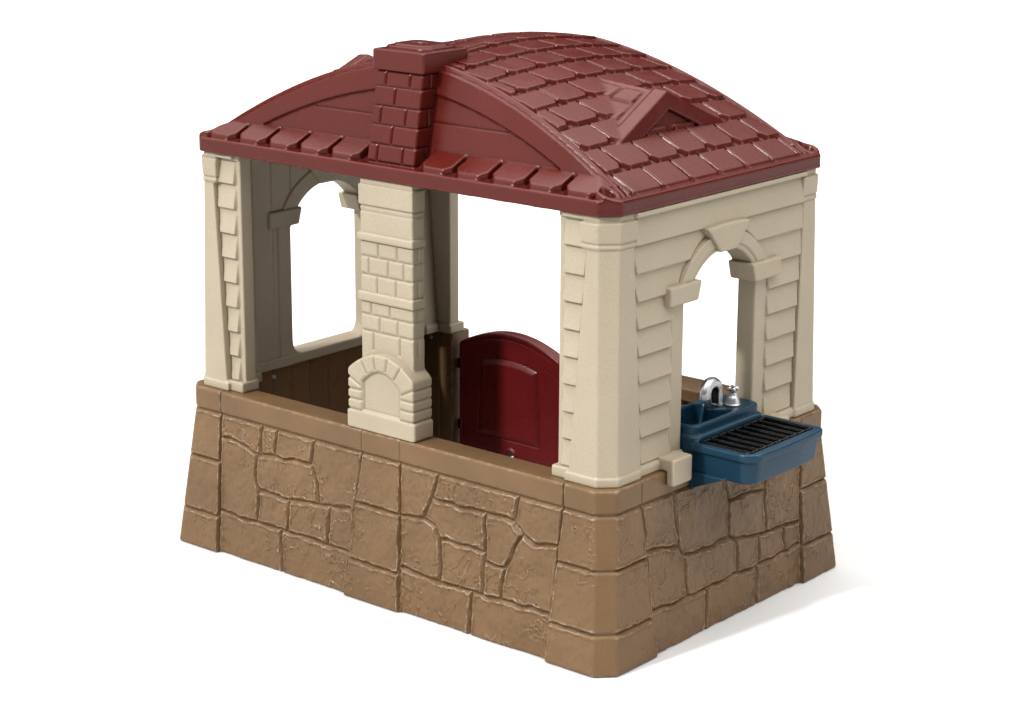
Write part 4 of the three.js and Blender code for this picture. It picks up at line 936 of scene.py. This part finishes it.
def faucet_valve():
    """A stepped flange under a ringed dome with a flat collar for the knob."""
    g = Grid(VALVE_X, VALVE_Y, VALVE_Z, 0.8)
    r = np.hypot(g.x - sum(VALVE_X) / 2, g.y - sum(VALVE_Y) / 2)
    height = g.z - VALVE_Z[0]
    flange = both(r - 18, height - 4, 2)
    step = both(r - 15.5, height - 8, 2)
    dome = both(np.hypot(r / 15, np.maximum(height - 6, 0) / 20) * 15 - 15, height - 26.5, 2)
    ring = both(r - 12.5, span(height, 14, 17), 1)
    dome = either(dome, ring, 1)
    collar = both(r - 9, height - 27.5, 1.5)
    made = either(either(flange, step, 1), either(dome, collar, 2), 1)
    return np.maximum(made, -height), g


def faucet_knob():
    """A short hub with four balls round it."""
    g = Grid(KNOB_X, KNOB_Y, KNOB_Z, 0.7)
    x, y, z = g.x - sum(KNOB_X) / 2, g.y - sum(KNOB_Y) / 2, g.z - KNOB_Z[0]
    reach = KNOB.reach
    made = both(rod(x, y, KNOB.hub), z - 12, 2)
    for i in range(4):
        angle = (i + 0.5) * math.pi / 2
        u, v = x - reach * math.cos(angle), y - reach * math.sin(angle)
        ball = np.sqrt(u ** 2 + v ** 2 + (z - KNOB.z) ** 2) - KNOB.ball
        made = either(made, ball, 1.5)
    return np.maximum(made, -z), g


# ---------- materials ----------
class Nodes:
    """The node tree of a material or a world; most methods add a node and give back its output."""

    def __init__(self, owner, place="Object"):
        owner.use_nodes = True
        self.tree = owner.node_tree
        self.place = self.add("ShaderNodeTexCoord").outputs[place]

    def add(self, kind, **settings):
        """Adds a node and gives back the node itself."""
        node = self.tree.nodes.new(kind)
        for key, value in settings.items():
            setattr(node, key, value)
        return node

    def feed(self, socket, value):
        """Links an output to an input, or sets the input's own value."""
        if isinstance(value, bpy.types.NodeSocket):
            self.tree.links.new(value, socket)
        else:
            socket.default_value = value

    def noise(self, scale, detail=3.0, stretch=None):
        """Noise between 0 and 1; scale counts bumps per metre."""
        node = self.add("ShaderNodeTexNoise")
        node.inputs["Scale"].default_value = scale
        node.inputs["Detail"].default_value = detail
        place = self.place
        if stretch:
            mapping = self.add("ShaderNodeMapping")
            mapping.inputs["Scale"].default_value = stretch
            self.feed(mapping.inputs["Vector"], place)
            place = mapping.outputs["Vector"]
        self.feed(node.inputs["Vector"], place)
        return node.outputs["Fac"]

    def remap(self, value, low, high, to_low, to_high, **settings):
        """Moves a value from one range to another."""
        node = self.add("ShaderNodeMapRange", **settings)
        for socket, number in zip(node.inputs, (value, low, high, to_low, to_high)):
            self.feed(socket, number)
        return node.outputs["Result"]

    def mix(self, factor, first, second):
        """Mixes two colours; each is an output or an RGB triple."""
        node = self.add("ShaderNodeMix", data_type="RGBA")
        for index, value in ((0, factor), (6, first), (7, second)):
            self.feed(node.inputs[index], (*value, 1.0) if isinstance(value, tuple) else value)
        return node.outputs[2]

    def math(self, operation, *values):
        """Arithmetic on numbers and outputs."""
        node = self.add("ShaderNodeMath", operation=operation)
        for socket, value in zip(node.inputs, values):
            self.feed(socket, value)
        return node.outputs[0]

    def bump(self, height, strength, distance):
        """A surface normal bent by a height."""
        node = self.add("ShaderNodeBump")
        node.inputs["Strength"].default_value = strength
        node.inputs["Distance"].default_value = distance
        self.feed(node.inputs["Height"], height)
        return node.outputs["Normal"]


def principled(name, roughness, metallic=0.0):
    """A new material, its nodes and the inputs of its shader."""
    material = bpy.data.materials.new(name)
    nodes = Nodes(material)
    inputs = nodes.tree.nodes["Principled BSDF"].inputs
    inputs["Metallic"].default_value = metallic
    inputs["Roughness"].default_value = roughness
    return material, nodes, inputs


def tint(colour, factor):
    """A lighter or darker version of a colour."""
    return tuple(min(1.0, c * factor) for c in colour)


def moulded(name, colour, roughness, mottle=0.1, speckle=0.08, wear_and_highlight=0.3, painted_hollow_shade=0.35, slate=0.0, chip_and_highlight_colour=None):
    """Moulded plastic: mottled colour, fine speckle, edges lightened as wear and as painted highlight,
    painted shade in recesses and a fine grain.
    """
    material, n, inputs = principled(name, roughness)
    cloudy = n.noise(5.0, 4.0)
    base = n.mix(n.remap(cloudy, 0.3, 0.7, 0.0, 1.0), tint(colour, 1 - mottle), tint(colour, 1 + mottle))
    specks = n.remap(n.noise(420.0, 3.0), 0.4, 0.7, 0.0, 1.0)
    base = n.mix(n.math("MULTIPLY", specks, speckle), base, tint(colour, 0.45))
    point = n.add("ShaderNodeNewGeometry").outputs["Pointiness"]
    # Painted shade: hollows (low pointiness) are darkened in colour and given less specular reflection,
    # standing in for the shade that falls in them.
    painted_shade_in_hollows = n.remap(point, 0.45, 0.498, painted_hollow_shade, 0.0)
    base = n.mix(painted_shade_in_hollows, base, tint(colour, 0.4))
    n.feed(inputs["Specular IOR Level"], n.remap(point, 0.45, 0.498, 0.5 * (1 - painted_hollow_shade), 0.5))
    # Wear and painted highlight: convex edges in scuffed patches are lightened towards a chip colour, partly
    # rubbed wear and partly painted highlight.
    scuff = n.remap(n.noise(60.0, 5.0), 0.45, 0.62, 0.0, 1.0)
    edges = n.math("MULTIPLY", n.remap(point, 0.51, 0.56, 0.0, wear_and_highlight), scuff)
    n.feed(inputs["Base Color"], n.mix(edges, base, chip_and_highlight_colour or tint(colour, 1.5)))
    smears = n.remap(n.noise(14.0, 5.0), 0.3, 0.7, roughness - 0.06, roughness + 0.08)
    n.feed(inputs["Roughness"], n.math("ADD", smears, n.math("MULTIPLY", edges, 0.2)))
    fine = n.math("ADD", n.noise(600.0, 2.0), n.math("MULTIPLY", n.noise(130.0, 3.0), 0.8))
    if slate:
        layers = n.math("ABSOLUTE", n.math("SUBTRACT", n.noise(34.0, 6.0, stretch=(1.0, 1.0, 0.35)), 0.5))
        fine = n.math("ADD", fine, n.math("MULTIPLY", layers, 14 * slate))
    n.feed(inputs["Normal"], n.bump(fine, 0.35, 0.0008))
    return material


def metal(name, colour, roughness, scale):
    """Plated or zinc-coated surface with faint smears."""
    material, n, inputs = principled(name, roughness, metallic=1.0)
    cloudy = n.noise(scale, 4.0)
    n.feed(inputs["Base Color"], n.mix(cloudy, tint(colour, 0.85), tint(colour, 1.1)))
    n.feed(inputs["Roughness"], n.remap(cloudy, 0.3, 0.7, roughness - 0.08, roughness + 0.1))
    n.feed(inputs["Normal"], n.bump(n.noise(scale * 12, 2.0), 0.15, 0.0002))
    return material


# By the slot of the record that each one belongs to.
MATERIALS = {
    # The stone base's light edge colour is painted highlight as well as chipped wear, and its recesses get
    # strong painted shade.
    "base_plastic": moulded("base_stone_plastic", (0.200, 0.122, 0.062), 0.32, mottle=0.14, speckle=0.25,
                            wear_and_highlight=1.0, painted_hollow_shade=0.8, slate=0.35, chip_and_highlight_colour=(0.42, 0.34, 0.25)),
    "wall_plastic": moulded("wall_cream_plastic", (0.465, 0.40, 0.30), 0.46, mottle=0.05, speckle=0.25,
                            wear_and_highlight=0.2, painted_hollow_shade=0.6),
    # The roof's recesses and shingle gaps get full painted shade.
    "roof_plastic": moulded("roof_red_plastic", (0.115, 0.017, 0.012), 0.25, mottle=0.1, speckle=0.15,
                            wear_and_highlight=0.35, painted_hollow_shade=1.0),
    "door_plastic": moulded("door_red_plastic", (0.18, 0.017, 0.018), 0.28, mottle=0.06, speckle=0.04,
                            wear_and_highlight=0.2),
    "tray_plastic": moulded("tray_blue_plastic", (0.009, 0.050, 0.088), 0.3, mottle=0.07, speckle=0.06,
                            wear_and_highlight=0.25, painted_hollow_shade=0.6),
    "grate_plastic": moulded("grate_black_plastic", (0.007, 0.006, 0.006), 0.24, mottle=0.1, speckle=0.1,
                             wear_and_highlight=0.5),
    "pin_plastic": moulded("pin_black_plastic", (0.015, 0.013, 0.013), 0.4),
    "faucet_plastic": metal("faucet_silver", (0.66, 0.66, 0.67), 0.4, 90.0),
    "screw_steel": metal("screw_zinc", (0.55, 0.56, 0.58), 0.4, 200.0),
}


# ---------- pieces ----------
def place(obj, node, body, slot, material):
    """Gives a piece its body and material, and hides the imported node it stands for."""
    obj.data.materials.append(material)
    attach(obj, body)
    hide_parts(node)


def mould(node, made, body, slot):
    """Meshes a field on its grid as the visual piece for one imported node."""
    place(mesh_object(node + "_moulding", *surface(*made)), node, body, slot, MATERIALS[slot])


mould("base_left_end", base_left(), "house", "base_plastic")
mould("base_right_end", base_end(1, SEAM.foot), "house", "base_plastic")
mould("base_front_panel", base_front(), "house", "base_plastic")
mould("base_back_panel", base_back(), "house", "base_plastic")
mould("half_door", half_door(), "door", "door_plastic")
mould("wall_left_end", end_wall(-1, True), "house", "wall_plastic")
mould("wall_right_end", end_wall(1, False), "house", "wall_plastic")
mould("fireplace_column", fireplace_column(), "house", "wall_plastic")
mould("roof", roof(), "house", "roof_plastic")
mould("chimney", chimney(), "house", "roof_plastic")
mould("sink_grill_tray", sink_and_tray(), "house", "tray_plastic")
mould("grill_grate", grill_grate(), "grate", "grate_plastic")
mould("faucet_spout", faucet_spout(), "spout", "faucet_plastic")
# Painted shade: a dark sheet in the spout's channel, given the black pin material.
channel_shade = mesh_object("faucet_spout_channel_shade", *surface(*spout_channel_shade()))
place(channel_shade, "faucet_spout", "spout", "faucet_plastic", MATERIALS["pin_plastic"])
mould("faucet_valve", faucet_valve(), "house", "faucet_plastic")
mould("faucet_knob", faucet_knob(), "knob", "faucet_plastic")


def finish_node(name, material, width):
    """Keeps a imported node, with its edges rounded and a proper material."""
    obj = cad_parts[name]
    obj.data.materials.clear()
    obj.data.materials.append(material)
    bevel = obj.modifiers.new("edges", "BEVEL")
    bevel.width = width
    bevel.segments = 3
    bevel.limit_method = "ANGLE"


for node_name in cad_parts:
    if "screw" in node_name:
        finish_node(node_name, MATERIALS["screw_steel"], 0.0006)
    elif node_name.startswith("hinge_pin"):
        finish_node(node_name, MATERIALS["pin_plastic"], 0.0008)


# ---------- floor, light and camera ----------
def studio_floor():
    """A pale floor that looks white but throws back only part of the light."""
    material, n, inputs = principled("studio_floor", 0.9)
    seen = n.add("ShaderNodeLightPath").outputs["Is Camera Ray"]
    pale = n.mix(n.noise(0.8), (0.66, 0.66, 0.66), (0.68, 0.68, 0.68))
    n.feed(inputs["Base Color"], n.mix(seen, (0.43, 0.43, 0.43), pale))
    inputs["Emission Color"].default_value = (1.0, 1.0, 1.0, 1.0)
    inputs["Emission Strength"].default_value = 0.06
    bpy.ops.mesh.primitive_plane_add(size=120, location=(0, 0, -0.0005))
    floor = bpy.context.object
    floor.name = "studio_floor"
    floor.data.materials.append(material)


def world_light(horizon, zenith, towards, softbox):
    """Soft light, stronger from above and round one direction; the camera sees it as plain white."""
    world = bpy.data.worlds.new("studio")
    n = Nodes(world, "Generated")
    split = n.add("ShaderNodeSeparateXYZ")
    n.feed(split.inputs["Vector"], n.place)
    above = n.remap(split.outputs["Z"], 0.45, 0.8, horizon, zenith)
    facing = n.add("ShaderNodeVectorMath", operation="DOT_PRODUCT")
    n.feed(facing.inputs[0], n.place)
    n.feed(facing.inputs[1], Vector(towards).normalized())
    beside = n.remap(facing.outputs["Value"], 0.8, 0.95, 0.0, softbox, interpolation_type="SMOOTHSTEP")
    light = n.math("ADD", above, beside)
    seen = n.add("ShaderNodeLightPath").outputs["Is Camera Ray"]
    background = n.tree.nodes["Background"].inputs
    background["Color"].default_value = (1.0, 0.985, 0.96, 1.0)
    n.feed(background["Strength"], n.remap(seen, 0.0, 1.0, light, 1.0))
    bpy.context.scene.world = world


def sun(name, towards, strength, angle):
    """A soft lamp that shines from a direction."""
    data = bpy.data.lights.new(name, "SUN")
    data.energy = strength
    data.angle = math.radians(angle)
    lamp = bpy.data.objects.new(name, data)
    lamp.rotation_euler = Vector(towards).to_track_quat("Z", "Y").to_euler()
    bpy.context.scene.collection.objects.link(lamp)


def studio_camera(eye, aim, roll, lens):
    """A camera at eye that looks at aim, turned by roll degrees about its own axis."""
    data = bpy.data.cameras.new("camera")
    data.lens = lens
    data.sensor_width = 36.0
    camera = bpy.data.objects.new("camera", data)
    turn = (Vector(aim) - Vector(eye)).to_track_quat("-Z", "Y").to_matrix().to_4x4()
    camera.matrix_world = Matrix.Translation(eye) @ turn @ Matrix.Rotation(math.radians(roll), 4, "Z")
    bpy.context.scene.collection.objects.link(camera)
    bpy.context.scene.camera = camera


studio_floor()
world_light(0.07, 2.3, (-0.75, -0.8, 0.15), 0.8)
sun("key", (-0.18, -0.79, 0.575), 1.9, 2.5)
sun("fill", (0.9, 0.35, 0.3), 0.5, 40)
studio_camera((3.0185, -3.642, 1.760), (-0.0285, -0.010, 0.482), 0.25, 76.96)
bpy.context.scene.view_settings.view_transform = "Standard"
bpy.context.scene.view_settings.look = "Medium High Contrast"
